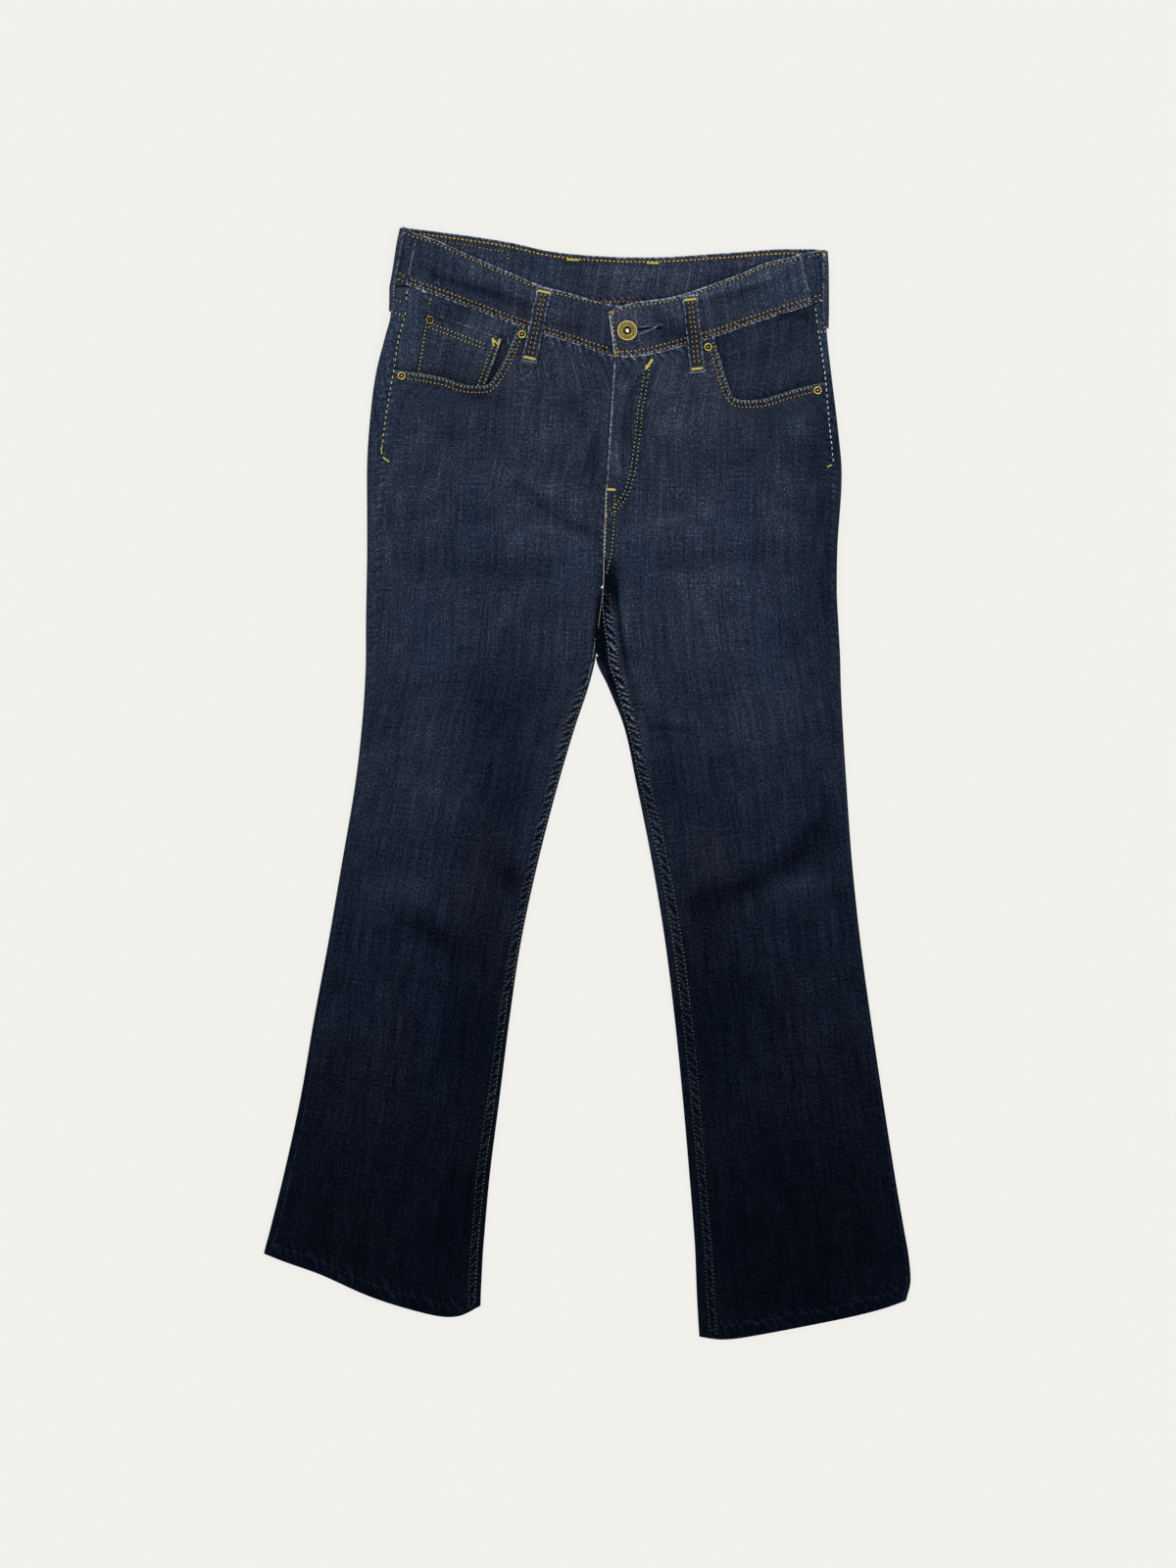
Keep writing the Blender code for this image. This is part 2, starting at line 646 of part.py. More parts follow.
def make_facing(half):
    """The denim seen inside the pocket opening, from the waist seam to just under the front panel."""
    toward_inner = 1 if half == "right" else -1
    levels = [level for level in HIP_LEVELS[half] if level > SCOOP_FOOT[half] + FACING_LEVELS_END]
    end_x = SCOOP[half][-1][0] + toward_inner * FACING_BEYOND
    outer = []
    head_level = FRONT_SEAM_Y(SCOOP[half][0][0] + toward_inner * FACING_HEAD_INSET) - WAIST_GAP
    for level in [head_level, *levels]:
        section = Section(half, level)
        outer.append(section.flat(section.outseam + SEAM_GAP / 2 + FACING_CLEARANCE))
    outer_y = curve_through([(share, place.y) for share, place in zip(np.linspace(0, 1, len(outer)), outer)])
    outer_x = curve_through([(place.y, place.x) for place in outer])
    foot_x = outer[-1].x
    shares = (0, 0.12, 0.26, 0.4, 0.54, 0.66, 0.76, 0.84, 0.92, 1)
    downs = (0, 0.25, 0.5, 0.75, 1)
    rows = []
    for down in downs:
        row = []
        for share in shares:
            x = foot_x + (end_x - foot_x) * share
            head_x = outer[0].x + (end_x - outer[0].x) * share
            head = FRONT_SEAM_Y(head_x) - WAIST_GAP
            foot = SCOOP_Y[half](x - toward_inner * FACING_UNDER) - FACING_UNDER * smoothstep(share / 0.12)
            y = min(head, head + (foot - head) * down)
            if share == 0:
                y = outer_y(down)
                place_x = outer_x(y)
            else:
                place_x = head_x + (x - head_x) * down
            row.append((place_x, y, facing_top(half, place_x, y)))
        rows.append(row)
    return cloth("facing_" + half, rows, FACING_WALL, MATERIALS["facing_" + half], half == "left")


def make_coin_pocket():
    top_outer, top_inner, foot_inner, foot_outer = (Vector(corner) for corner in COIN_POCKET)
    rows = []
    for down in np.linspace(0, 1, 6):
        start = top_outer.lerp(foot_outer, down)
        end = top_inner.lerp(foot_inner, down)
        row = []
        for share in np.linspace(0, 1, 7):
            place = start.lerp(end, share)
            height = facing_top("right", place.x, place.y) + LAYER_GAP + COIN_SEAT + COIN_WALL
            row.append((place.x, place.y, height))
        rows.append(row)
    return cloth("coin_pocket", rows, COIN_WALL, MATERIALS["coin_pocket"])


def band_top(x):
    """The height of the front waistband's outer face, with its rise over the lapped end beneath it."""
    lap = plateau(x, LAP_END_X - 2, LAP_END_X + LAP_REACH + 2, 25)
    return LAYERS["base"](BAND_LEVEL_Y) + BAND_HEIGHT + LAP_RISE * lap


def fold_turns(half, share):
    """Points round the waistband's side at a share of the way from its edge down to its seam."""
    edge, seam = (Vector(place) for place in BAND_FOLD[half])
    side = edge.lerp(seam, share)
    toward_inner = 1 if half == "right" else -1
    radius = BAND_HEIGHT / 2
    base = LAYERS["base"](BAND_LEVEL_Y)
    points = []
    for turn in FOLD_TURNS:
        angle = math.pi * (0.5 + turn)
        x = side.x + toward_inner * radius * (1 + math.cos(angle))
        points.append((x, side.y, base + radius + radius * math.sin(angle)))
    return points


def make_back_band():
    """The back of the waistband, which wraps round both sides as far as its joins."""
    rows = []
    base = LAYERS["base"](BAND_LEVEL_Y)
    for share in (0.0, 0.5, 1.0):
        row = []
        edge, seam = (Vector(place) for place in BAND_JOIN["right"])
        join = edge.lerp(seam, share)
        row.append((join.x - SEAM_GAP / 2, join.y, band_top(join.x)))
        row += fold_turns("right", share)
        for x in (-150, -100, -50, 0, 50, 100, 150, 195):
            head = BACK_EDGE_Y(x)
            foot = BACK_SEAM_Y(x)
            row.append((x, head + (foot - head) * share, base))
        row += reversed(fold_turns("left", share))
        edge, seam = (Vector(place) for place in BAND_JOIN["left"])
        join = edge.lerp(seam, share)
        row.append((join.x + SEAM_GAP / 2, join.y, band_top(join.x)))
        rows.append(row)
    return cloth("waistband_back", rows, BAND_WALL, MATERIALS["waistband_back"], True)


def make_front_band(half):
    """One front length of the waistband, from its side join to its end at the button."""
    right = half == "right"
    edge, seam = (Vector(place) for place in BAND_JOIN[half])
    if right:
        stops = (0, 0.14, 0.28, 0.42, 0.56, 0.68, 0.78, 0.86, 0.93, 1)
        end_x = LAP_END_X + LAP_REACH
    else:
        stops = (0, 0.12, 0.24, 0.36, 0.48, 0.6, 0.7, 0.8, 0.9, 0.97, 1)
        end_x = LAP_END_X
    rows = []
    for share in (0.0, 0.33, 0.67, 1.0):
        row = []
        for stop in stops:
            join = edge.lerp(seam, share)
            start_x = join.x + (SEAM_GAP / 2 if right else -SEAM_GAP / 2)
            finish_x = end_x if right else end_x + LAP_END_LEAN * share
            x = start_x + (finish_x - start_x) * stop
            head = FRONT_EDGE_Y[half](x)
            foot = FRONT_SEAM_Y(x)
            if stop == 0:
                head, foot = edge.y, seam.y
            y = head + (foot - head) * share
            if right:
                y -= LAP_DIP * smoothstep((x - LAP_END_X) / LAP_DIP_LENGTH + 1) * (1 - share)
            under = LAYERS["base"](BAND_LEVEL_Y) + BAND_WALL + LAYER_GAP + BAND_WALL
            sunk = smoothstep((x - LAP_END_X + LAP_SINK_START) / LAP_SINK_LENGTH) if right else 0.0
            plain = LAYERS["base"](BAND_LEVEL_Y) + BAND_HEIGHT
            z = plain + (under - plain) * sunk if right else band_top(x)
            row.append((x, y, z))
        rows.append(row)
    name = "waistband_" + half
    return cloth(name, rows, BAND_WALL, MATERIALS[name], not right)


def cut_buttonhole(band):
    """The slot that the button's shank stands in, with a round end."""
    height = band_top(BUTTON_AT[0])
    tilt = math.radians(BUTTONHOLE_TILT)
    length = BUTTONHOLE_END_X - BUTTON_AT[0]
    shape = bmesh.new()
    middle = Vector((BUTTON_AT[0] + length / 2, BUTTON_AT[1] + math.tan(tilt) * length / 2, height)) * MM
    slot = bmesh.ops.create_cube(shape, size=MM)
    bmesh.ops.scale(shape, vec=(length, BUTTONHOLE_WIDTH, CUTTER_HEIGHT), verts=slot["verts"])
    turn = Vector((math.cos(tilt), math.sin(tilt), 0)).to_track_quat("X", "Z").to_matrix()
    bmesh.ops.rotate(shape, matrix=turn, verts=slot["verts"])
    bmesh.ops.translate(shape, vec=middle, verts=slot["verts"])
    slot_mesh = bpy.data.meshes.new("buttonhole slot")
    shape.to_mesh(slot_mesh)
    shape.clear()
    radius = (BUTTON_SHANK + SEAM_GAP) * MM
    depth = CUTTER_HEIGHT * MM
    bmesh.ops.create_cone(shape, cap_ends=True, segments=24, radius1=radius, radius2=radius, depth=depth)
    bmesh.ops.translate(shape, vec=Vector((*BUTTON_AT, height)) * MM, verts=shape.verts)
    eye_mesh = bpy.data.meshes.new("buttonhole eye")
    shape.to_mesh(eye_mesh)
    shape.free()
    for mesh in (slot_mesh, eye_mesh):
        cutter = bpy.data.objects.new(mesh.name, mesh)
        cutter.hide_render = True
        cutter.display_type = "WIRE"
        CUTTERS.objects.link(cutter)
        cut = band.modifiers.new(mesh.name, "BOOLEAN")
        cut.operation = "DIFFERENCE"
        cut.object = cutter


def make_yoke(half):
    """The yoke of one half, between the waistband's seam and the back panel."""
    lower = Section(half, HIP_LEVELS[half][0])
    upper_y = BAND_FOLD[half][1][1] - WAIST_GAP
    rows = []
    for share in (0.0, 0.5, 1.0):
        level = upper_y + (lower.outer_y + SEAM_GAP - upper_y) * share
        section = Section(half, level)
        section.yoke_sag = 0.0
        radius = section.radius()
        row = [section.top(section.outseam - SEAM_GAP / 2 - 0.1)]
        row += [section.fold(turn) for turn in FOLD_TURNS]
        row[0] = (row[0][0], min(row[0][1], BAND_JOIN[half][1][1] - WAIST_GAP), row[0][2])
        end = section.width - SEAM_GAP / 2
        for part in (0.25, 0.5, 0.75, 1.0):
            distance = radius + (end - radius) * part
            place = section.flat(distance)
            head = BACK_SEAM_Y(place.x) - WAIST_GAP
            foot = lower.under(radius + (lower.width - SEAM_GAP / 2 - radius) * part)
            y = head + (foot[1] + SEAM_GAP - head) * share
            x = place.x + (EDGE[half + "_inner"](y) - section.inner.x) * part
            row.append((x, y, LAYERS["base"](y)))
        rows.append(row)
    return cloth("yoke_" + half, rows, WALL, MATERIALS["yoke_" + half], half == "right")


def surface_top(x, y):
    """The height of the highest face at a place of the front."""
    half = "right" if x < EDGE["right_inner"](y) else "left"
    if y > FRONT_SEAM_Y(x) - 2:
        return band_top(x)
    if scoop_distance(half, x, y) > 0:
        return facing_top(half, x, y)
    return skin_top(half, x, y)


def make_front_loop(name, ends):
    """A belt loop over the waistband, held at both ends and standing off between them."""
    start, end = (Vector(place) for place in ends)
    along = (end - start).normalized()
    side = Vector((-along.y, along.x))
    rows = []
    count = 10
    for index in range(count + 1):
        share = index / count
        middle = start.lerp(end, share)
        half_width = LOOP_WIDTH / 2 + LOOP_END_FLARE * (abs(2 * share - 1) ** 8)
        under = max(surface_top(*(middle + side * offset)) for offset in (-half_width, 0, half_width))
        arch = LOOP_ARCH * math.sin(math.pi * share) ** 0.7 if 0 < share < 1 else 0.0
        row = []
        for offset in (-1.0, -0.6, 0.0, 0.6, 1.0):
            place = middle + side * half_width * offset
            dip = LOOP_EDGE_DIP * abs(offset) ** 3
            row.append((place.x, place.y, under + SEAM_GAP + LOOP_WALL + LOOP_SEAT + arch - dip))
        rows.append(row)
    return cloth(name, rows, LOOP_WALL, MATERIALS[name])


def make_back_loop(name, top):
    """A belt loop pressed flat between the back of the waistband and the surface."""
    rows = []
    for down in np.linspace(0, LOOP_LENGTH, 5):
        row = []
        for offset in np.linspace(-LOOP_WIDTH / 2, LOOP_WIDTH / 2, 3):
            row.append((top[0] + offset, top[1] - down, 0.0))
        rows.append(row)
    return cloth(name, rows, LOOP_WALL, MATERIALS[name], True)


def make_side_loop(name, half):
    """A belt loop round the waistband's side, seen edge on from above."""
    toward_inner = 1 if half == "right" else -1
    base = LAYERS["base"](BAND_LEVEL_Y)
    edge, seam = (Vector(place) for place in BAND_FOLD[half])
    foot_y = SIDE_LOOP_FOOT_Y[half]
    stands_off = table_curves(SIDE_LOOP_COLUMNS, SIDE_LOOP_STAND)[half]
    levels = [edge.y - 1, edge.y - 14, edge.y - 28, seam.y, seam.y - 12, foot_y]
    rows = []
    for level in levels:
        if level >= seam.y:
            side_x = edge.lerp(seam, (edge.y - level) / (edge.y - seam.y)).x
        else:
            side_x = EDGE[half + "_outer"](level)
        inner_radius = BAND_HEIGHT / 2
        stand = stands_off((levels[0] - level) / (levels[0] - levels[-1]))
        centre_x = side_x + toward_inner * (inner_radius - stand)
        radius = inner_radius + SIDE_LOOP_GAP + LOOP_WALL
        row = [(centre_x + toward_inner * (SIDE_LOOP_OVER + stand), level, base + inner_radius + radius)]
        for turn in np.linspace(0, 1, 7):
            angle = math.pi * (0.5 + turn)
            x = centre_x + toward_inner * radius * math.cos(angle)
            row.append((x, level, base + inner_radius + radius * math.sin(angle)))
        rows.append(row)
    return cloth(name, rows, LOOP_WALL, MATERIALS[name], half == "right")


def make_back_pocket(name, place):
    """A plain patch pocket with a pointed foot, pressed flat under the back panel."""
    middle_x, top_y, turn = place
    outline = [
        (-POCKET_WIDTH / 2, 0), (-POCKET_FOOT_WIDTH / 2, -POCKET_SIDE), (0, -POCKET_POINT),
        (POCKET_FOOT_WIDTH / 2, -POCKET_SIDE), (POCKET_WIDTH / 2, 0),
    ]
    curve = bpy.data.curves.new(name, "CURVE")
    curve.dimensions = "2D"
    curve.fill_mode = "BOTH"
    curve.extrude = WALL / 2 * MM
    spline = curve.splines.new("POLY")
    spline.points.add(len(outline) - 1)
    for point, (x, y) in zip(spline.points, outline):
        point.co = (x * MM, y * MM, 0, 1)
    spline.use_cyclic_u = True
    obj = link_part(bpy.data.objects.new(name, curve), MATERIALS[name])
    obj.location = (middle_x * MM, top_y * MM, WALL / 2 * MM)
    obj.rotation_euler.z = math.radians(turn)
    return obj


def make_button():
    lift = band_top(BUTTON_AT[0]) - 0.1
    return turned("button", BUTTON_PROFILE, BUTTON_AT, lift, MATERIALS["button"], 40)


def make_rivet(name, place):
    spots = [place]
    for turn in np.linspace(0, math.tau, 9):
        spots.append((place[0] + RIVET_REACH * math.cos(turn), place[1] + RIVET_REACH * math.sin(turn)))
    lift = max(surface_top(*spot) for spot in spots)
    if name == "rivet_coin_pocket":
        lift += LAYER_GAP + COIN_WALL
    return turned(name, RIVET_PROFILE, place, lift + SEAM_GAP, MATERIALS[name], 20)


for old in list(bpy.data.objects):
    bpy.data.objects.remove(old)

PARTS = bpy.data.collections.new("bootcut jeans")
CUTTERS = bpy.data.collections.new("cutters")
bpy.context.scene.collection.children.link(PARTS)
bpy.context.scene.collection.children.link(CUTTERS)

PAIRED = ("front", "back", "yoke", "facing", "waistband")
CLOTH_NAMES = [f"{piece}_{half}" for piece in PAIRED for half in HEM_END_Y]
CLOTH_NAMES += ["waistband_back", "coin_pocket", *FRONT_LOOPS, *BACK_LOOPS, *SIDE_LOOPS, *BACK_POCKETS]
MATERIALS = {}
for cloth_name in CLOTH_NAMES:
    shade = DENIM_DARK if "waistband" in cloth_name or "facing" in cloth_name else DENIM
    MATERIALS[cloth_name] = make_material(cloth_name, shade, 0.9)
for metal_name in ("button", *RIVETS):
    MATERIALS[metal_name] = make_material(metal_name, BRASS, 0.35, 1.0)

for half_name in HEM_END_Y:
    make_front_panel(half_name)
    make_back_panel(half_name)
    make_yoke(half_name)
    make_facing(half_name)
make_coin_pocket()
make_back_band()
make_front_band("right")
cut_buttonhole(make_front_band("left"))
for loop_name, loop_ends in FRONT_LOOPS.items():
    make_front_loop(loop_name, loop_ends)
for loop_name, loop_top in BACK_LOOPS.items():
    make_back_loop(loop_name, loop_top)
for loop_name, loop_half in SIDE_LOOPS.items():
    make_side_loop(loop_name, loop_half)
for pocket_name, pocket_place in BACK_POCKETS.items():
    make_back_pocket(pocket_name, pocket_place)
make_button()
for rivet_name, rivet_place in RIVETS.items():
    make_rivet(rivet_name, rivet_place)
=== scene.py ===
"""The looks of bootcut jeans laid flat on their back, front side up.

The tables and functions are in millimetres: +X to the wearer's left, +Y to the waist, +Z up from the
surface they lie on. Right and left are the wearer's. Each cloth piece is a thin shell on its solid's form,
with finer creases, the weave, the worn edges and the sewing added.
"""

import math

import bmesh
import bpy
import numpy as np
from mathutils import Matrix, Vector
from mathutils.bvhtree import BVHTree


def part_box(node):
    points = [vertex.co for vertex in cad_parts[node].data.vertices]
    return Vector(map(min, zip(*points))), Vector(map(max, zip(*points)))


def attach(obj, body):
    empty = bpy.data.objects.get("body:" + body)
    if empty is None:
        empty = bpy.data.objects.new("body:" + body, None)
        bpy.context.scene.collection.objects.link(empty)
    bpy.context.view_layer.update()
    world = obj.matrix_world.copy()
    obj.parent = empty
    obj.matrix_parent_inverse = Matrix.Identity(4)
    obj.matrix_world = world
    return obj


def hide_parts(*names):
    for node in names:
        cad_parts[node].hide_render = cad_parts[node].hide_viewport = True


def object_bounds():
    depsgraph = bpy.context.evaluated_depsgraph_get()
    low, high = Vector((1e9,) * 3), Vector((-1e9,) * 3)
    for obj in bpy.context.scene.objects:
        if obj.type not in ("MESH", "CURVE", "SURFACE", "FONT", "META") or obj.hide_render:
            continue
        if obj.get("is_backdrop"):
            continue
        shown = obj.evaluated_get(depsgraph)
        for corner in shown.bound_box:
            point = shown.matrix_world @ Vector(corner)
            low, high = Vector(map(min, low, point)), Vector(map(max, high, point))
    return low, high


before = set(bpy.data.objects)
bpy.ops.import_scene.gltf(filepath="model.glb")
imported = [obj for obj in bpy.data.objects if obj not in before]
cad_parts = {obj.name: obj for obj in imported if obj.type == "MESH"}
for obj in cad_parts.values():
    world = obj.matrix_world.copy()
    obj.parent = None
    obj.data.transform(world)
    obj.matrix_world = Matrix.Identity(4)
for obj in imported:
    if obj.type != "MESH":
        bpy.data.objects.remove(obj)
CAD_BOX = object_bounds()

MM = 0.001
RANDOM = np.random.default_rng(11)

# Cloth
WALL = 1.2
HEM_WALL = 2.2
BAND_WALL = 2.0
FACING_WALL = 1.0
LOOP_WALL = 1.5
SEAM_GAP = 0.3
LAYER_GAP = 0.4
WAIST_GAP = 0.8
FINE_STEP = 2.8
FOLD_STEPS = 9
TINY = 1e-6
LEG_STEP = 3.4
FAR = 99.0

# Levels along the body, measured up from the middle of its length
CROTCH_SEAM_Y = 183.0
CROTCH_GAP_Y = 119.0
FLY_END_Y = 275.0
CLOSING_START_Y = 230.0
YOKE_SAG_START_Y = 290.0
HEM_BAND = 24.0
HEM_RISE = 1.0
CROWN = 0.8
CROWN_RAMP = 40.0
CREASE_FADE = 14.0

OUTLINE_COLUMNS = ("y", "right_outer", "right_inner", "left_inner", "left_outer")
OUTLINE = (
    (470, -183.7, 27.5, 27.5, 224.4), (440, -184.5, 27.5, 27.5, 224.4), (420, -189.5, 26.5, 26.5, 225.5),
    (385, -198.3, 25, 25, 229.4), (330, -204.9, 21.2, 21.2, 236), (290, -206.8, 18.6, 18.6, 239.3),
    (220, -206.6, 16, 16, 235.2), (183, -207.2, 15, 15, 234.7), (150, -207.8, 11, 11, 236.2),
    (119, -207.9, 8.3, 8.3, 237.9), (91, -208.9, 1.6, 19.6, 238.6), (54, -211.6, -10.8, 34.4, 240.4),
    (0, -217.8, -26.8, 46.2, 243.8), (-75, -230.4, -46.2, 61.2, 249.2), (-148, -242.9, -61.8, 73.2, 256.9),
    (-222, -256.7, -72.8, 82.4, 266.9), (-295, -269.2, -82, 89.8, 277.8),
    (-369, -285.3, -91.4, 96.2, 289.4), (-424, -299, -96.4, 100.6, 298.8),
    (-442, -303.6, -97.8, 101.7, 302), (-467, -305.8, -99.1, 102.6, 304.2),
    (-486, -306.6, -99.9, 103.4, 300), (-520, -307.6, -100.4, 105.4, 293),
)
SEAM_COLUMNS = (
    "y", "right_outseam", "right_inseam", "right_drop", "left_outseam", "left_inseam", "left_drop",
)
SEAMS = (
    (470, 16, 2, 0, 15.5, 2, 0), (445, 14.5, 2, 0, 10.5, 2, 0), (420, 13.8, 2, 0, 8.3, 2, 0),
    (385, 17, 2, 0, 6.8, 2, 0), (330, 14.7, 2, 0, 8.3, 2, 0), (290, 13, 2, 0, 8, 2, 0),
    (220, 10.6, 2, 0, 5.2, 2, 0), (183, 10, 3.6, 0, 4, 2, 0), (150, 8.5, 3.6, 0, 3.6, 9, 0),
    (119, 7.3, 3.6, 0, 3.6, 16, 0), (85, 5, 3.6, 10, 3.6, 10.5, 10), (50, 3.6, 3.6, 19, 3.6, 8, 19),
    (-38, 3.8, 3.6, 27, 3.6, 8, 26), (-111, 4.6, 3.6, 30, 3.6, 8.5, 28), (-258, 6.2, 3.6, 33, 3.6, 9.2, 31),
    (-332, 7, 4.2, 35, 3.6, 11, 34), (-400, 7.2, 4.6, 41, 3.8, 13, 37), (-442, 6.4, 4.8, 49, 4, 14, 37),
    (-486, 6.4, 4.8, 50, 4.6, 14.7, 34),
)
STACK_COLUMNS = ("y", "base", "height")
STACK = (
    (520, 1.9, 5), (412, 1.9, 5), (390, 1.5, 5), (205, 1.5, 5), (150, 0.5, 4.8), (110, 0, 4.6), (0, 0, 4.4),
    (-200, 0, 4.2), (-520, 0, 4.2),
)
YOKE_SEAM_Y = {"right": 444.0, "left": 427.0}
HEM_END_Y = {"right": -442.0, "left": -486.0}
HEM_COLUMNS = ("across", "right", "left")
HEM_SAG = (
    (0, 0, 0), (0.1, -3, -3.5), (0.25, -6.5, -6), (0.5, -16.5, -7.5), (0.75, -19.5, -8), (0.9, -14.5, -6),
    (1, 0, 0),
)
HEM_SAG_REACH = 110.0
HEM_ROW_X = {"right": (-292, -104), "left": (118, 294)}
HEM_ROW_RISE = 12.5

# The waistband
FRONT_SEAM = (
    (-182, 472), (-120, 449.5), (-58, 426.5), (-15, 413), (18, 402), (36, 399.2), (60, 401.8), (91, 410),
    (120, 418.5), (166, 434.5), (227, 453.5),
)
FRONT_EDGE_RIGHT = (
    (-174, 519.5), (-141, 509.5), (-114, 497), (-74.5, 480.2), (-47, 468.3), (-15, 459.5), (20, 452.6),
    (60, 446),
)
FRONT_EDGE_LEFT = (
    (20, 441.6), (25, 444.5), (37, 449), (81, 456.3), (110, 465.5), (145, 478.4), (169, 488.5), (199, 495),
    (224, 500),
)
BACK_EDGE = (
    (-174, 521.8), (-150, 519), (-73, 507.9), (-36, 499.6), (19, 494.5), (59, 493.8), (131, 497.8),
    (188, 501.5), (224, 501.3),
)
BACK_SEAM = ((-184, 466), (-100, 456), (19, 448), (120, 450), (224.4, 453.5))
YOKE_DEPTH = 64.0
BAND_HEIGHT = 5.4
BAND_LEVEL_Y = 480.0
BAND_CREASE_SHARE = 0.35
BAND_FOLD = {"right": ((-174.0, 521.9), (-183.7, 466.0)), "left": ((224.3, 500.3), (224.4, 454.0))}
BAND_JOIN = {"right": ((-161.0, 516.0), (-170.5, 468.0)), "left": ((201.0, 497.3), (211.5, 449.0))}
LAP_END_X = 20.0
LAP_REACH = 45.0
LAP_RISE = 1.8
LAP_RAMP = 25.0
BAND_GAIN = {"right": 0.93, "left": 1.11}
INSIDE_GAIN = 0.92

# The fly
FLY_LAP = 11.0
FLY_LAP_START = 30.0
FLY_RISE = 1.0
FLY_RISE_RAMP = 20.0
FLY_RISE_LENGTH = 40.0
FLY_SINK_START_Y = FLY_END_Y - 45.0
FLY_SINK_LENGTH = 22.0
FLY_SINK_RAMP = 30.0

# The pocket openings
SCOOP = {
    "right": (
        (-180.6, 387.5), (-138, 381), (-108, 373), (-96, 373), (-84, 385.5), (-75.5, 402), (-69, 417.5),
        (-65.5, 428.9),
    ),
    "left": (
        (220.6, 376), (187.7, 367.5), (165.6, 360.6), (147, 359.3), (137.1, 363.4), (130.6, 380),
        (123.3, 404), (119.5, 418.1),
    ),
}
SCOOP_FOOT = {"right": 352.0, "left": 338.0}
FACING_LEVELS = {"right": (444, 416, 387.5), "left": (427, 401, 376)}
FRONT_TOP_X = {"right": (-180.6, -160, -102, -71, -65.5, 8), "left": (220.6, 204, 157, 127, 119.5, 36)}
FACING_UNDER = 13.0
SCOOP_RUB = 0.8
FACING_SINK = 1.6
FACING_SINK_START = 3.0
FACING_RAMP = 22.0
FACING_GAIN = {"right": 1.06, "left": 0.89}
COIN_POCKET = ((-150, 443.4), (-80, 416.8), (-98.5, 364), (-162, 373))
COIN_WALL = 1.0
COIN_SEAT = 0.1
COIN_RISE = 1.5
COIN_RISE_X = (-168, -92, 14)
COIN_RISE_Y = (358, 400, 16)

OUTSEAM_END_Y = {"right": 302.0, "left": 296.0}
BUTTON_AT = (37.7, 424.1)
BUTTONHOLE_END = (70.0, 427.6)
BUTTONHOLE_HALF_WIDTH = 0.9
RIVETS = {
    "rivet_coin_pocket": (-147.2, 434.2),
    "rivet_right_side": (-174, 382),
    "rivet_right_front": (-61, 421),
    "rivet_left_front": (113.6, 409),
    "rivet_left_side": (216.5, 368.5),
}
LOOP_WIDTH = 13.4
LOOP_END_FLARE = 1.2
LOOP_LENGTH = 74.0
LOOP_ARCH = 1.4
LOOP_SEAT = 0.3
LOOP_EDGE_DIP = 0.25
LOOP_WOBBLE = 0.25
FRONT_LOOPS = {
    "loop_front_right": ((-39.6, 465), (-54.7, 394.7)),
    "loop_front_left": ((96.1, 457.8), (104, 384.6)),
}
BACK_LOOPS = {"loop_back_right": (-12.9, 495.0), "loop_back_left": (62.6, 492.0)}
SIDE_LOOPS = {"loop_side_right": "right", "loop_side_left": "left"}
SIDE_LOOP_FOOT_Y = {"right": 443.0, "left": 427.0}
SIDE_LOOP_OVER = 0.5
SIDE_LOOP_GAP = 0.35
SIDE_LOOP_COLUMNS = ("down", "right", "left")
SIDE_LOOP_STAND = ((0.0, 0.0, 0.0), (0.2, 0.5, 0.9), (0.5, 0.0, 1.1), (0.8, 0.1, 1.1), (1.0, 0.0, 0.3))
BACK_POCKETS = {"back_pocket_right": (-94.0, 371.0, 2.0), "back_pocket_left": (127.0, 371.0, -2.0)}
POCKET_WIDTH = 142.0
POCKET_FOOT_WIDTH = 124.0
POCKET_SIDE = 128.0
POCKET_POINT = 150.0

# The creases of the upper side: both ends (x, y), half width and rise. The first are in the solids too
CREASES = (
    (-106, 242, 6, 230, 11, 0.7), (-150, 205, -10, 200, 13, -0.5), (30, 226, 225, 272, 12, 0.7),
    (34, 205, 200, 215, 13, -0.5), (28, 196, 45, 75, 7, 0.9), (50, 47, 96, 46, 10, -0.6),
    (-205, -92, -140, -118, 14, 1), (-188, -114, -126, -160, 11, -0.8), (-90, -70, -60, -110, 13, -0.6),
    (104, -112, 172, -88, 11, -0.8), (172, -88, 234, -18, 12, -0.7), (186, -104, 226, -88, 14, 1),
    (-215, 20, -120, 60, 16, 0.6), (120, 40, 225, 75, 16, 0.6), (-240, -200, -150, -235, 15, 0.6),
    (120, -210, 230, -185, 15, 0.6),
)
FINE_CREASES = (
    (-92, 268, 4, 244, 5, 0.5), (-60, 222, 8, 212, 4, 0.45), (-40, 250, 12, 232, 4, -0.4),
    (34, 240, 150, 262, 5, 0.5), (36, 222, 120, 232, 4, -0.45), (40, 196, 170, 188, 5, 0.4),
    (52, 49, 94, 48, 3, -0.5), (60, 58, 100, 60, 4, 0.4), (-180, 330, -120, 318, 6, 0.35),
    (60, 330, 120, 350, 6, 0.35), (-175, 290, -90, 300, 7, -0.3), (100, 300, 215, 318, 7, -0.3),
    (-196, -84, -150, -100, 5, 0.5), (-170, -128, -128, -150, 5, -0.5), (120, -96, 170, -80, 5, 0.5),
    (176, -72, 226, -30, 5, -0.5), (-70, -40, -58, -90, 6, 0.4), (-230, -150, -170, -170, 6, 0.35),
    (150, -150, 240, -135, 6, 0.35), (-255, -300, -120, -330, 9, 0.35), (110, -320, 260, -300, 9, 0.35),
    (-160, 480, -60, 452, 4, -0.45), (110, 452, 190, 478, 4, -0.45), (-20, 432, 10, 424, 4, -0.4),
)
UNDULATIONS = ((140.0, 0.30), (60.0, 0.14), (26.0, 0.06))
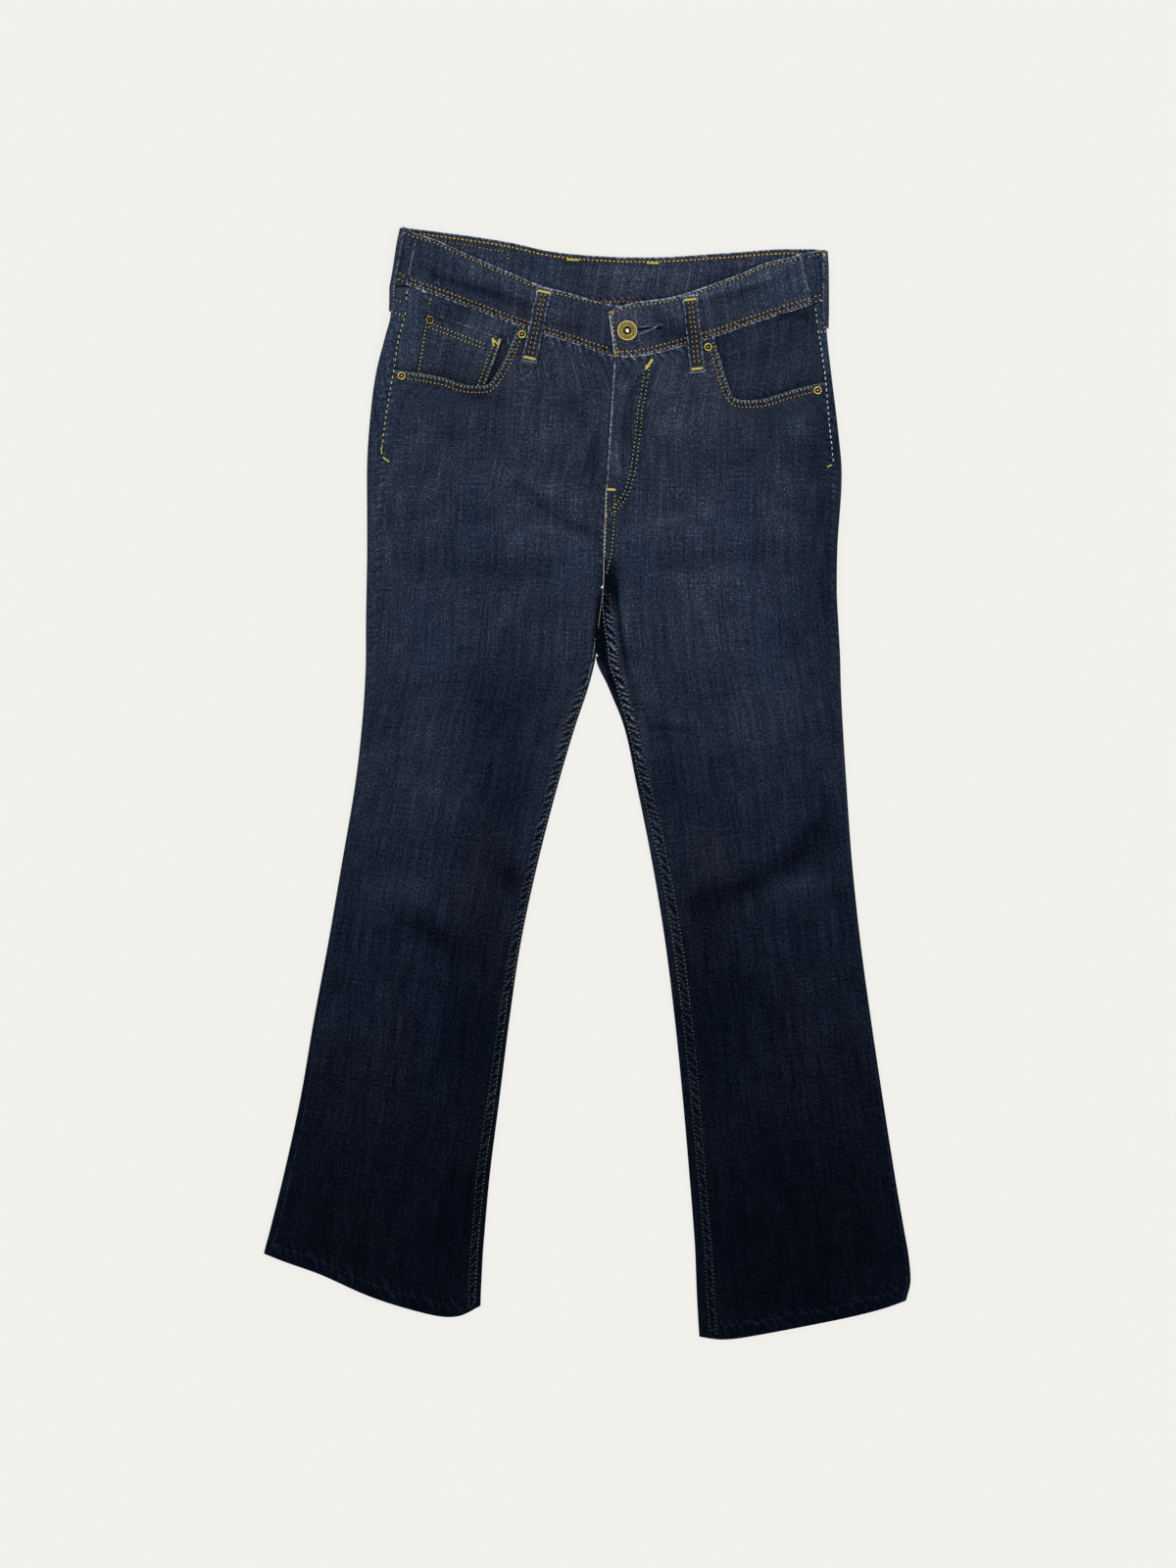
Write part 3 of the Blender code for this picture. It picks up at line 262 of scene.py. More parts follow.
CREASE_AT_ENDS = 0.45
WAVES = [[(RANDOM.uniform(0, np.pi), RANDOM.uniform(0, 6)) for _ in range(4)] for _ in UNDULATIONS]


def ease(value):
    value = np.clip(value, 0.0, 1.0)
    return value * value * (3 - 2 * value)


def unit(count):
    """Evenly spaced values from 0 to 1, as a row."""
    return np.linspace(0, 1, count)[None, :]


def curve_through(points):
    """A smooth reading y(x) through the points, with no overshoot between them."""
    xs, ys = np.array(sorted(points), float).T
    slopes = np.diff(ys) / np.diff(xs)
    tangents = np.concatenate([[slopes[0]], (slopes[1:] + slopes[:-1]) / 2, [slopes[-1]]])
    for index in range(1, len(xs) - 1):
        before, after = slopes[index - 1], slopes[index]
        if before * after <= 0:
            tangents[index] = 0.0
            continue
        limit = 3 * min(abs(before), abs(after))
        tangents[index] = math.copysign(min(abs(tangents[index]), limit), before)

    def read(x):
        x = np.clip(np.asarray(x, float), xs[0], xs[-1])
        index = np.clip(np.searchsorted(xs, x) - 1, 0, len(xs) - 2)
        span = xs[index + 1] - xs[index]
        t = (x - xs[index]) / span
        start = (1 + 2 * t) * (1 - t) ** 2 * ys[index] + t * (1 - t) ** 2 * span * tangents[index]
        end = t * t * (3 - 2 * t) * ys[index + 1] + t * t * (t - 1) * span * tangents[index + 1]
        return start + end

    return read


def table_curves(columns, rows):
    return {
        name: curve_through([(row[0], row[index]) for row in rows])
        for index, name in enumerate(columns)
        if index
    }


EDGE = table_curves(OUTLINE_COLUMNS, OUTLINE)
SEAM = table_curves(SEAM_COLUMNS, SEAMS)
LAYERS = table_curves(STACK_COLUMNS, STACK)
SAG = table_curves(HEM_COLUMNS, HEM_SAG)
FRONT_SEAM_Y = curve_through(FRONT_SEAM)
BACK_SEAM_Y = curve_through(BACK_SEAM)
BACK_EDGE_Y = curve_through(BACK_EDGE)
FRONT_EDGE_Y = {"right": curve_through(FRONT_EDGE_RIGHT), "left": curve_through(FRONT_EDGE_LEFT)}
SCOOP_Y = {half: curve_through(points) for half, points in SCOOP.items()}
BAND_BASE = float(LAYERS["base"](BAND_LEVEL_Y))
TOWARD_INNER = {"right": 1.0, "left": -1.0}


# The form of the upper side


def segment_share(x, y, x0, y0, x1, y1):
    """How far along a segment a place lies, from 0 to 1, and its distance from it."""
    along_x, along_y = x1 - x0, y1 - y0
    share = ((x - x0) * along_x + (y - y0) * along_y) / (along_x**2 + along_y**2)
    share = np.clip(share, 0, 1)
    return share, np.hypot(x - x0 - along_x * share, y - y0 - along_y * share)


def stroke(x, y, line, at_ends):
    """The effect of a soft line, given as both ends, half width and amount, with a share left at its ends."""
    *ends, width, amount = line
    share, distance = segment_share(x, y, *ends)
    return amount * (at_ends + (1 - at_ends) * np.sin(np.pi * share)) * np.exp(-((distance / width) ** 2))


def crease_rise(x, y):
    total = np.zeros(np.broadcast(x, y).shape)
    for line in CREASES + FINE_CREASES:
        total += stroke(x, y, line, CREASE_AT_ENDS)
    for (wavelength, height), waves in zip(UNDULATIONS, WAVES):
        for turn, phase in waves:
            across = x * math.cos(turn) + y * math.sin(turn)
            total += height / 2 * np.sin(2 * np.pi * across / wavelength + phase)
    return total


def hem_y(half, x):
    outer_y = HEM_END_Y[half]
    inner_y = outer_y - SEAM[half + "_drop"](outer_y)
    outer_x = EDGE[half + "_outer"](outer_y)
    inner_x = EDGE[half + "_inner"](inner_y)
    across = np.clip((x - outer_x) / (inner_x - outer_x), 0, 1)
    return outer_y + (inner_y - outer_y) * across + SAG[half](across)


def hem_share(half, x, y):
    return ease(1 - (y - hem_y(half, x)) / HEM_BAND)


def closed_share(y):
    return ease((CLOSING_START_Y - y) / (CLOSING_START_Y - CROTCH_SEAM_Y))


def plateau(value, low, high, ramp):
    outside = np.maximum(np.maximum(low - value, value - high), 0.0)
    return ease(1 - outside / ramp)


def coin_rise(x, y):
    return COIN_RISE * plateau(x, *COIN_RISE_X) * plateau(y, *COIN_RISE_Y)


def fly_rise(x, y):
    middle = EDGE["right_inner"](y)
    over_lap = plateau(x, middle - 2, middle + FLY_LAP + 8, FLY_RISE_RAMP)
    return FLY_RISE * over_lap * ease((y - FLY_END_Y + 10) / FLY_RISE_LENGTH)


def side_height(half, x, y):
    return LAYERS["height"](y) + HEM_RISE * hem_share(half, x, y)


def skin_top(half, x, y, with_coin=True):
    """The height of the upper side's outer face."""
    height = side_height(half, x, y)
    from_outer = np.abs(x - EDGE[half + "_outer"](y)) - height / 2
    from_inner = np.abs(x - EDGE[half + "_inner"](y)) - height / 2
    closed = closed_share(y)

    def inward(ramp):
        return ease(from_outer / ramp) * (1 - closed + closed * ease(from_inner / ramp))

    rise = crease_rise(x, y) + fly_rise(x, y)
    if with_coin:
        rise = rise + coin_rise(x, y)
    return LAYERS["base"](y) + height + CROWN * inward(CROWN_RAMP) + rise * inward(CREASE_FADE)


def scoop_distance(half, x, y):
    low, high = sorted((SCOOP[half][0][0], SCOOP[half][-1][0]))
    edge_x = np.linspace(low, high, 90)
    edge_y = SCOOP_Y[half](edge_x)
    x, y = np.broadcast_arrays(x, y)
    nearest = np.full(x.shape, FAR * 10)
    for px, py in zip(edge_x, edge_y):
        nearest = np.minimum(nearest, np.hypot(x - px, y - py))
    beyond_end = x > high if half == "right" else x < low
    return np.where((y > SCOOP_Y[half](x)) & ~beyond_end, nearest, -nearest)


def facing_top(half, x, y):
    inside = scoop_distance(half, x, y) - FACING_SINK_START
    return skin_top(half, x, y, False) - FACING_SINK * ease(1 - inside / FACING_RAMP)


def band_relief(x, y):
    """Small unevenness of the waistband, in which its stiffer cloth follows little of the creases."""
    return BAND_CREASE_SHARE * crease_rise(x, y)


def band_top(x):
    lap = plateau(x, LAP_END_X - 2, LAP_END_X + LAP_REACH + 2, LAP_RAMP)
    return BAND_BASE + BAND_HEIGHT + LAP_RISE * lap


class Sections:
    """Sections across a half of the garment, one a row, from its outer side to its inner one."""

    def __init__(self, half, levels):
        self.half = half
        self.outer_y = np.atleast_1d(np.asarray(levels, float))[:, None]
        self.inner_y = self.outer_y - SEAM[half + "_drop"](self.outer_y)
        self.outer_x = EDGE[half + "_outer"](self.outer_y)
        self.inner_x = EDGE[half + "_inner"](self.inner_y)
        self.width = np.hypot(self.inner_x - self.outer_x, self.inner_y - self.outer_y)
        self.across_x = (self.inner_x - self.outer_x) / self.width
        self.across_y = (self.inner_y - self.outer_y) / self.width
        self.outseam = SEAM[half + "_outseam"](self.outer_y)
        self.inseam = SEAM[half + "_inseam"](self.outer_y)
        self.hem_sag = ease(1 - (self.outer_y - HEM_END_Y[half]) / HEM_SAG_REACH)
        hip = ease((self.outer_y - YOKE_SAG_START_Y) / (YOKE_SEAM_Y[half] - YOKE_SAG_START_Y))
        self.yoke_sag = YOKE_DEPTH * hip

    def flat(self, distance):
        x = self.outer_x + self.across_x * distance
        y = self.outer_y + self.across_y * distance
        return x, y + SAG[self.half](distance / self.width) * self.hem_sag

    def top(self, distance, lowered=0.0):
        x, y = self.flat(distance)
        return stacked(x, y, skin_top(self.half, x, y) - lowered)

    def under(self, distance):
        x, y = self.flat(distance)
        share = distance / self.width
        y = y - self.yoke_sag * share**1.1
        shift = (EDGE[self.half + "_inner"](y) - self.inner_x) * share
        x = x + np.where(self.yoke_sag > 0, shift, 0.0)
        return stacked(x, y, LAYERS["base"](y))

    def radius(self, inner=False):
        x, y = self.flat(self.width if inner else 0 * self.width)
        return side_height(self.half, x, y) / 2

    def fold(self, turns, inner=False):
        """Points round the folded side: a turn is 0 on top, 0.5 at the silhouette and 1 underneath."""
        angle = np.pi * (0.5 + np.asarray(turns, float)[None, :])
        radius = self.radius(inner)
        distance = radius * (1 + np.cos(angle))
        x, y = self.flat(self.width - distance if inner else distance)
        return stacked(x, y, LAYERS["base"](y) + radius + radius * np.sin(angle))


def stacked(*coordinates):
    return np.stack(np.broadcast_arrays(*coordinates), axis=-1)


def between(start, end, step):
    """Evenly spaced values from start to end, at most a step apart."""
    return np.linspace(start, end, max(2, math.ceil(abs(end - start) / step) + 1))


def through(stops, step):
    """The stops, with evenly spaced values between each and the next."""
    runs = [between(start, end, step)[:-1] for start, end in zip(stops, stops[1:])]
    return np.concatenate(runs + [[stops[-1]]])


# The shade of the cloth, and where it is rubbed light

SHADE_BY_LEVEL = curve_through((
    (520, 55), (470, 54), (430, 50.5), (385, 48.5), (300, 46.5), (220, 45), (150, 43), (75, 39.5),
    (0, 36.5), (-75, 31.5), (-148, 25.5), (-222, 21.5), (-295, 17.5), (-369, 12.5), (-424, 9.5),
    (-520, 7.5),
))
# Places that are lighter or darker than their level: x, y, reach across and along, and by how much
SHADE_PLACES = (
    (-82, 15, 34, 120, -11), (-40, 70, 22, 60, -4), (-175, -20, 50, 120, 3), (-45, -20, 14, 90, 4),
    (78, 0, 16, 70, -6), (100, 150, 60, 70, 3), (118, -130, 36, 40, -4), (150, -30, 70, 60, -4),
    (225, -40, 20, 50, -6), (222, 235, 20, 120, -9), (222, 330, 16, 60, -5), (-115, -150, 40, 34, -3),
    (-72.7, -88, 9, 9, -8), (45, 395, 24, 20, 4), (-120, -250, 26, 60, -4), (110, -220, 30, 60, -4),
    (-100, -470, 18, 46, 5), (108, -480, 14, 60, 5), (-290, -425, 16, 16, 4), (300, -470, 14, 18, 4),
    (-110, 370, 60, 40, -2), (-60, 330, 60, 50, -2), (200, 470, 20, 20, -2), (-165, 120, 40, 120, -2),
    (120, 70, 30, 40, -2), (-118, 68, 30, 34, -4), (200, 140, 20, 40, -4), (-115, -228, 18, 40, -6),
    (166, -300, 26, 44, 4), (-115, -376, 16, 40, -4), (-126, -446, 60, 50, -3), (180, -446, 60, 50, -3),
    (-145, -80, 28, 34, 3), (140, -152, 22, 36, 3), (-150, -60, 50, 30, -2), (140, -200, 80, 70, -5),
    (190, -340, 110, 110, -3), (232, 200, 14, 130, -6), (150, 440, 60, 30, -6), (-85, -220, 14, 60, -6),
    (-90, -340, 16, 80, -4), (-118, 443, 34, 13, -13), (74, 419, 26, 10, -14), (-118, 395, 26, 22, -4),
)
# Soft lines that are lighter or darker: both ends, half width, and by how much. Many are painted shade and
# light: shadows in the crotch's gap, along the fold beside it and the inseam's fold, beside the fly's edge,
# the loops and the fly's rows and under the waistband, and the dark and light sides of creases; others are
# rubbed wear
SHADE_STROKES = (
    (-143, 477, -55, 448, 4.5, -17), (-132, 494, -64, 470, 5, 5), (-160, 489, -143, 478, 5, -6),
    (107, 449, 173, 468, 4, -7), (111, 459, 185, 480, 4, 6), (60, 442, 92, 420, 9, -8),
    (1, 482, 93, 478, 3, 6), (-70, 494, -20, 486, 3, 4), (120, 486, 190, 494, 3, 4),
    (-40, 489, 60, 488, 2.5, -5), (-50, 438, -5, 424, 4, -8), (6, 326, 5, 280, 6, -14),
    (-44, 260, 9, 232, 7, -11), (-68, 283, -34, 258, 6, -7), (-81, 293, 0, 266, 8, 5),
    (-17, 364, -2, 339, 6, -11), (-120, 369, -76, 356, 6, -8), (42, 372, 40, 321, 3, -13),
    (30, 387, 34, 371, 5, 9), (28, 322, 27, 292, 4.5, 12), (35, 350, 33, 300, 2.5, -8),
    (27.6, 387.6, 53.5, 387.3, 1.4, 6), (27.6, 372.9, 31.8, 370.2, 1.6, 9),
    (31.8, 370.2, 42.7, 375.2, 1.6, 7), (42.7, 375.2, 52, 386.9, 1.4, 4), (45, 366, 52, 379, 3, -6),
    (7.8, 381.4, 17.1, 378.6, 1.5, 4), (17.1, 378.6, 23, 374.4, 1.5, 5), (21, 201, 18.5, 166, 8, -46),
    (13, 172, 9.2, 116, 4.2, -40), (27, 187, 30.6, 146, 2.6, -30), (30.6, 146, 38.5, 105, 2.8, -28),
    (38.5, 105, 47.5, 68, 3, -18), (34, 183, 37.7, 137, 3, 3), (13.5, 160, 14.7, 134, 4.5, -36),
    (14.7, 134, 16.7, 115, 4, -36), (16.7, 115, 29.8, 75, 3.6, -32), (29.8, 75, 44.3, 23, 3.2, -26),
    (44.3, 23, 58, -30, 2.6, -14), (-167, -124, -98, -170, 15, -7), (-201, -97, -192, -130, 9, 4),
    (97, -113, 152, -91, 13, -8), (152, -91, 192, -78, 13, -9), (192, -78, 215, -44, 11, -9),
    (180, -97, 211, -88, 8, 6), (227, -107, 247, -107, 8, -7), (134, -63, 180, -58, 14, 3),
    (148, -194, 185, -212, 16, -5), (180, 439, 211, 441, 4, -14), (205, 437, 214, 425, 3, -10),
    (40, 232, 225, 268, 8, -5), (60, 205, 190, 222, 9, -4), (-180, 330, -110, 322, 8, -4),
    (-190, 250, -120, 262, 8, -3), (150, 345, 205, 352, 6, -5), (135, 395, 180, 405, 7, -6),
    (52, 48, 95, 46, 2.5, 9), (54, 53, 95, 51, 3, -7), (-56, 236, -12, 226, 3, -5),
    (110, 300, 215, 312, 9, -4), (-150, 205, -20, 195, 9, -4), (-60, 150, -10, 175, 9, -4),
    (60, 392, 52, 348, 5.5, -8), (52, 348, 46, 300, 5.5, -8), (46, 300, 30, 262, 4, -5),
    (-37.5, 462, -45, 396, 2.4, -10), (-55.5, 463, -63, 400, 2.4, -8), (107.5, 452, 112.5, 392, 2.4, -10),
    (90.5, 455, 95.5, 392, 2.4, -8), (30, 386, 50, 384, 5, -8),
)
# How much a crease's rise changes the shade, from the level's shade at which it does so fully. Crests are
# lighter and troughs darker: partly the wear of the ridges, partly painted light and shade
CREASE_SHADE = 8.0
FULL_CREASE_SHADE = 50
STROKE_AT_ENDS = 0.6
SHADE_RANGE = (5, 90)
RUB_BY_LEVEL = curve_through((
    (520, 0.95), (440, 0.9), (340, 0.8), (270, 0.65), (180, 0.5), (60, 0.4), (-100, 0.32), (-300, 0.24),
    (-520, 0.3),
))


def shade(x, y):
    total = SHADE_BY_LEVEL(y) + 0.0 * x
    for px, py, reach_x, reach_y, change in SHADE_PLACES:
        total = total + change * np.exp(-(((x - px) / reach_x) ** 2) - ((y - py) / reach_y) ** 2)
    for line in SHADE_STROKES:
        total = total + stroke(x, y, line, STROKE_AT_ENDS)
    # Lighter on the creases' crests, darker in their troughs: partly wear, partly painted light and shade
    total = total + CREASE_SHADE * crease_rise(x, y) * ease(SHADE_BY_LEVEL(y) / FULL_CREASE_SHADE)
    return np.clip(total, *SHADE_RANGE) / 100


def resampled(places, step):
    places = np.asarray(places, float)
    lengths = np.linalg.norm(np.diff(places, axis=0), axis=1)
    along = np.concatenate([[0], np.cumsum(lengths)])
    stops = np.arange(0, along[-1], step)
    return stacked(*(np.interp(stops, along, places[:, axis]) for axis in (0, 1)))


def graph_of(curve, start, end, shift=0.0, step=1.5):
    x = between(start, end, step)
    return stacked(x, curve(x) + shift)


def section_path(half, levels, distance):
    """A path down a half, at a distance from its outer side for a positive value, else from its inner one."""
    sections = Sections(half, levels)
    offset = distance(sections) if callable(distance) else distance
    offset = np.where(np.asarray(offset) < 0, sections.width + offset, offset)
    x, y = sections.flat(offset)
    return stacked(x[:, 0], y[:, 0])


def beside(places, offset):
    """A path moved sideways, to its left for a positive offset."""
    places = np.asarray(places, float)
    along = np.gradient(places, axis=0)
    along /= np.linalg.norm(along, axis=1)[:, None]
    return places + offset * stacked(-along[:, 1], along[:, 0])


def border_distance(points, sides):
    """How far each grid point is from its nearest side; a side counts as further the less it is worn."""
    ends = {"first": points[:, :1], "last": points[:, -1:], "head": points[:1], "foot": points[-1:]}
    nearest = np.full(points.shape[:2], FAR)
    for side, wear in sides.items():
        distance = np.linalg.norm(points - ends[side], axis=2) + (1 - wear) * WEAR_REACH
        nearest = np.minimum(nearest, distance)
    return nearest


# How far from its edge the cloth is worn
WEAR_REACH = 1.9
GRID_SIDES = ("first", "last", "head", "foot")
# Puckers: waves of the cloth along a seam. Each wave's length wanders a little
PUCKER_RISE = 0.3
# The upper side's points lie this much over the lower side
UPPER_FROM = 2.4
PUCKER_REACHES = 2.5
CHUNK = 4000
PUCKER_WANDER = ((37.0, 0.30), (17.0, 0.15))
PUCKER_STEP = 1.5


def puckers(points, seams):
    """How strongly a seam draws up each point, and where in the seam's waves the point lies, in turns.

    A seam is its path, its reach, its strength at a level, its waves' length and their slant, and whether
    it is on the side that the garment lies on.
    """
    on_top = points[..., 2] > LAYERS["base"](points[..., 1]) + UPPER_FROM
    strength = np.zeros(points.shape[:2])
    phase = np.zeros(points.shape[:2])
    for path, reach, drawn, spacing, slant, below in seams:
        path = resampled(path, PUCKER_STEP)
        low, high = path.min(axis=0) - PUCKER_REACHES * reach, path.max(axis=0) + PUCKER_REACHES * reach
        chosen = ((points[..., :2] > low) & (points[..., :2] < high)).all(axis=2) & (on_top != below)
        places = points[chosen][:, :2]
        nearest = np.zeros(len(places), int)
        for start in range(0, len(places), CHUNK):
            part = places[start:start + CHUNK]
            nearest[start:start + CHUNK] = ((part[:, None] - path[None]) ** 2).sum(axis=2).argmin(axis=1)
        offset = places - path[nearest]
        heading = np.gradient(path, axis=0)[nearest] / PUCKER_STEP
        side = heading[:, 0] * offset[:, 1] - heading[:, 1] * offset[:, 0]
        along = nearest * PUCKER_STEP + (heading * offset).sum(axis=1)
        turns = (along + slant * side) / spacing
        for length, sway in PUCKER_WANDER:
            turns = turns + sway * np.sin(2 * np.pi * along / length + spacing)
        level = drawn(places[:, 1]) if callable(drawn) else drawn
        local = level * np.exp(-((np.hypot(*offset.T) / reach) ** 2))
        stronger = local > strength[chosen]
        strength[chosen] = np.where(stronger, local, strength[chosen])
        phase[chosen] = np.where(stronger, turns, phase[chosen])
    return strength, phase


def drawn_up(points, strength, phase):
    """The points of the upper side, raised by their puckers."""
    above = ease(points[..., 2] - LAYERS["base"](points[..., 1]) - UPPER_FROM)
    raised = points.copy()
    raised[..., 2] += PUCKER_RISE * above * strength * np.sin(2 * np.pi * phase)
    return raised


INSEAM_DRAWN = {
    "right": curve_through((
        (-520, 1.5), (-300, 1.5), (-100, 1.25), (60, 1.3), (105, 0.7), (125, 0.2), (190, 0.05),
    )),
    "left": curve_through(((-520, 1.2), (-300, 1.2), (-100, 1.2), (60, 1.5), (165, 1.8), (190, 0.6))),
}
INSEAM_ROW_OUT = curve_through((
    (-520, 4.2), (-390, 3.7), (-300, 2), (-227, 1), (-66, 1), (20, 3.6), (73, 4.7), (105, 3.8), (150, 3.8),
    (183, 1.4),
))
INSEAM_ROW_IN = curve_through((
    (-520, 2.4), (-390, 2.4), (-300, 5), (-227, 7), (-66, 6.8), (73, 3.2), (105, 3.8), (183, 4.6),
))
INSEAM_ROW_REACH = curve_through(((-520, 12.0), (-330, 11.8), (-190, 9.6), (-110, 8.8), (190, 8.8)))
INSEAM_MIDDLE = {
    "right": curve_through(((-520, 3.8), (-330, 3.9), (-190, 2.6), (-110, 1.9), (190, 1.9))),
    "left": lambda y: (INSEAM_ROW_IN(y) - INSEAM_ROW_OUT(y)) / 2,
}
INSEAM_REACH = {"right": 3.6, "left": 4.0}
OUTSEAM_DRAWN = curve_through(((-520, 0.2), (-200, 0.2), (150, 0.25), (290, 0.35), (470, 0.5)))
SEAT_LEVELS = (372, 186)
SEAT_DRAWN = curve_through(((372, 0.12), (285, 0.15), (262, 0.5), (186, 0.55)))
FLY_ROW = curve_through((
    (395, 59.8), (389, 58.6), (369, 55.5), (350, 52), (334, 50.4), (311, 47.7), (300.8, 46.4), (293, 45.2),
    (282.3, 42.5), (273, 39.4), (266.8, 35.9), (260, 31.6), (256, 28.2), (252.6, 22.4), (250.6, 16.2),
))
FLY_ROW_LEVELS = (392.0, 251.0)
ROW_GAP = 4.1


def hem_row(half):
    x = between(*HEM_ROW_X[half], 2.0)
    return stacked(x, hem_y(half, x) + HEM_ROW_RISE)


def scoop_row(half, inset):
    low, high = SCOOP[half][0][0], SCOOP[half][-1][0]
    inner = TOWARD_INNER[half]
    return beside(graph_of(SCOOP_Y[half], low + inner * 2, high - inner * 0.5, 0.0, 0.8), -inner * inset)


def fly_row(offset):
    levels = np.linspace(*FLY_ROW_LEVELS, 110)
    return beside(stacked(FLY_ROW(levels), levels), offset)


def leg_seams(half):
    """The seams that draw up both panels of a leg."""
    inner = TOWARD_INNER[half]
    outer_levels = np.linspace(466, HEM_END_Y[half] + 2, 300)
    inner_levels = np.linspace(CROTCH_SEAM_Y - 1, HEM_END_Y[half] + 2, 240)
    return [
        (section_path(half, outer_levels, lambda s: s.outseam), 4.0, OUTSEAM_DRAWN, 8.0, 0.5 * inner, False),
        (section_path(half, inner_levels, lambda s: s.width - s.inseam - INSEAM_MIDDLE[half](s.outer_y)),
         INSEAM_REACH[half], INSEAM_DRAWN[half], 7.6, inner, False),
        (hem_row(half), 7.0, 0.7, 9.5, 0.7, False),
    ]


def front_seams(half):
    seat = np.linspace(*SEAT_LEVELS, 120)
    waist_ends = (-72, 30) if half == "right" else (30, 127)
    seams = leg_seams(half) + [
        (scoop_row(half, 3.0), 5.5, 0.5, 6.2, 0.5, False),
        (graph_of(FRONT_SEAM_Y, *waist_ends), 6.5, 0.6, 7.0, 0.5, False),
        (stacked(EDGE[half + "_inner"](seat), seat), 6.0, SEAT_DRAWN, 7.2, -0.8, False),
    ]
    if half == "left":
        seams.append((fly_row(-ROW_GAP / 2), 5.0, 0.5, 6.6, 0.8, False))
    return seams


def yoke_seam(half, drop):
    sections = Sections(half, YOKE_SEAM_Y[half] - drop)
    distance = np.linspace(8, float(sections.width[0, 0]) - 3, 90)[None, :]
    return sections.under(distance)[0, :, :2]


def back_seams(half):
    seat = np.linspace(*SEAT_LEVELS, 120)
    return leg_seams(half) + [
        (hem_row(half), 7.0, 0.7, 9.5, 0.7, True),
        (stacked(EDGE[half + "_inner"](seat), seat), 6.0, 0.6, 7.2, 0.8, True),
        (yoke_seam(half, 3.0), 6.0, 0.6, 7.4, 0.6, True),
    ]


def band_seams(half):
    low, high = (-172, 62) if half == "right" else (22, 212)
    return [
        (graph_of(FRONT_EDGE_Y[half], low, high, -1.5), 4.0, 0.35, 6.0, 0.8, False),
        (graph_of(FRONT_SEAM_Y, low, high, 3.0), 4.5, 0.55, 6.4, 0.8, False),
    ]


# Materials


def linear(*channels):
    return tuple(((c / 255 + 0.055) / 1.055) ** 2.4 if c > 10 else c / 255 / 12.92 for c in channels)


DENIM_SHADES = (
    (0, (1, 4, 10)), (0.12, (4, 9, 21)), (0.2, (11, 18, 32)), (0.3, (20, 28, 43)), (0.4, (30, 38, 53)),
    (0.5, (39, 48, 64)), (0.62, (50, 60, 77)), (0.8, (84, 98, 120)), (1, (158, 174, 192)),
)
RIB_SPACING = 1.25
RIB_LEAN = math.radians(27)
SPECK_SPACING = 1.0


class Graph:
    """A short way to write a material's nodes."""

    def __init__(self, name):
        self.material = bpy.data.materials.new(name)
        self.material.use_nodes = True
        self.nodes = self.material.node_tree.nodes
        self.place = None

    def put(self, socket, value):
        if isinstance(value, bpy.types.NodeSocket):
            self.material.node_tree.links.new(value, socket)
        else:
            socket.default_value = value

    def node(self, kind, output=0, settings=None, **inputs):
        node = self.nodes.new("ShaderNode" + kind)
        for key, value in (settings or {}).items():
            setattr(node, key, value)
        for key, value in inputs.items():
            self.put(node.inputs[key], value)
        return node.outputs[output]

    def operate(self, kind, operation, values, output=0, **inputs):
        result = self.node(kind, output, {"operation": operation}, **inputs)
        for socket, value in zip(result.node.inputs, values):
            self.put(socket, value)
        return result

    def math(self, operation, *values):
        return self.operate("Math", operation, (*values, 0.0, 0.0))

    def times(self, first, second, plus=None):
        if plus is None:
            return self.math("MULTIPLY", first, second)
        return self.math("MULTIPLY_ADD", first, second, plus)

    def vector(self, operation, *values, output=0, **inputs):
        return self.operate("VectorMath", operation, values, output, **inputs)

    def noise(self, across, along, detail=2.0, up=1.0):
        scaled = self.vector("MULTIPLY", self.place, (across, along, up))
        return self.node("TexNoise", Vector=scaled, Scale=1.0, Detail=detail, Roughness=0.6)

    def wave(self, direction, spacing, offset):
        """A wave between 0 and 1 along a direction."""
        pace = (*(2 * math.pi / spacing * part for part in direction), 0)
        turn = self.math("ADD", self.vector("DOT_PRODUCT", self.place, pace, output=1), offset)
        return self.times(self.math("SINE", turn), 0.5, 0.5)

    def attribute(self, name):
        return self.node("Attribute", 2, {"attribute_name": name})

    def ramp(self, level, shades):
        node = self.nodes.new("ShaderNodeValToRGB")
        stops = node.color_ramp.elements
        while len(stops) < len(shades):
            stops.new(0.5)
        for stop, (position, colour) in zip(stops, shades):
            stop.position = position
            stop.color = (*linear(*colour), 1)
        self.put(node.inputs[0], level)
        return node.outputs[0]

    def shaded(self, **inputs):
        """The material, with its surface's inputs set."""
        for key, value in inputs.items():
            self.put(self.nodes["Principled BSDF"].inputs[key.replace("_", " ")], value)
        return self.material


# The cloth's textures: noise per millimetre across and along the warp, its detail, and its strength
TEXTURES = {
    "grain": (0.85, 0.75, 3, 1.5),
    "heather": (0.52, 0.40, 2, 1.15),
    "slub": (0.75, 0.024, 3, 0.8),
    "band": (0.16, 0.010, 2, 0.35),
    "cross": (0.03, 0.7, 2, 0.45),
    "mottle": (0.07, 0.05, 3, 0.25),
    "cloud": (0.022, 0.016, 2, 0.22),
}
# Pairs of a factor and what is added: how strong the textures are by tone, where the cloth is rubbed in
# patches, and how light the crests of the puckers are by tone, partly roping wear and partly painted light
TEXTURE_BY_TONE = (0.35, 0.47)
PATCHES = (3.4, -1.25)
CREST_BY_TONE = (0.3, 0.26)
WEFT_LIGHT = 0.42
WEFT_MEAN = 0.105
RIB_WANDER = 9.0
# How much darker the puckers' hollows are: painted shade
HOLLOW_SHADE = 0.5
RUB_LIGHT = 0.8
# How much each of a texture's colour channels follows the warm and the cool flecks
FLECK_HUE = (1.3, 0.05, -0.55)
FLECK_MIDDLE = 0.46


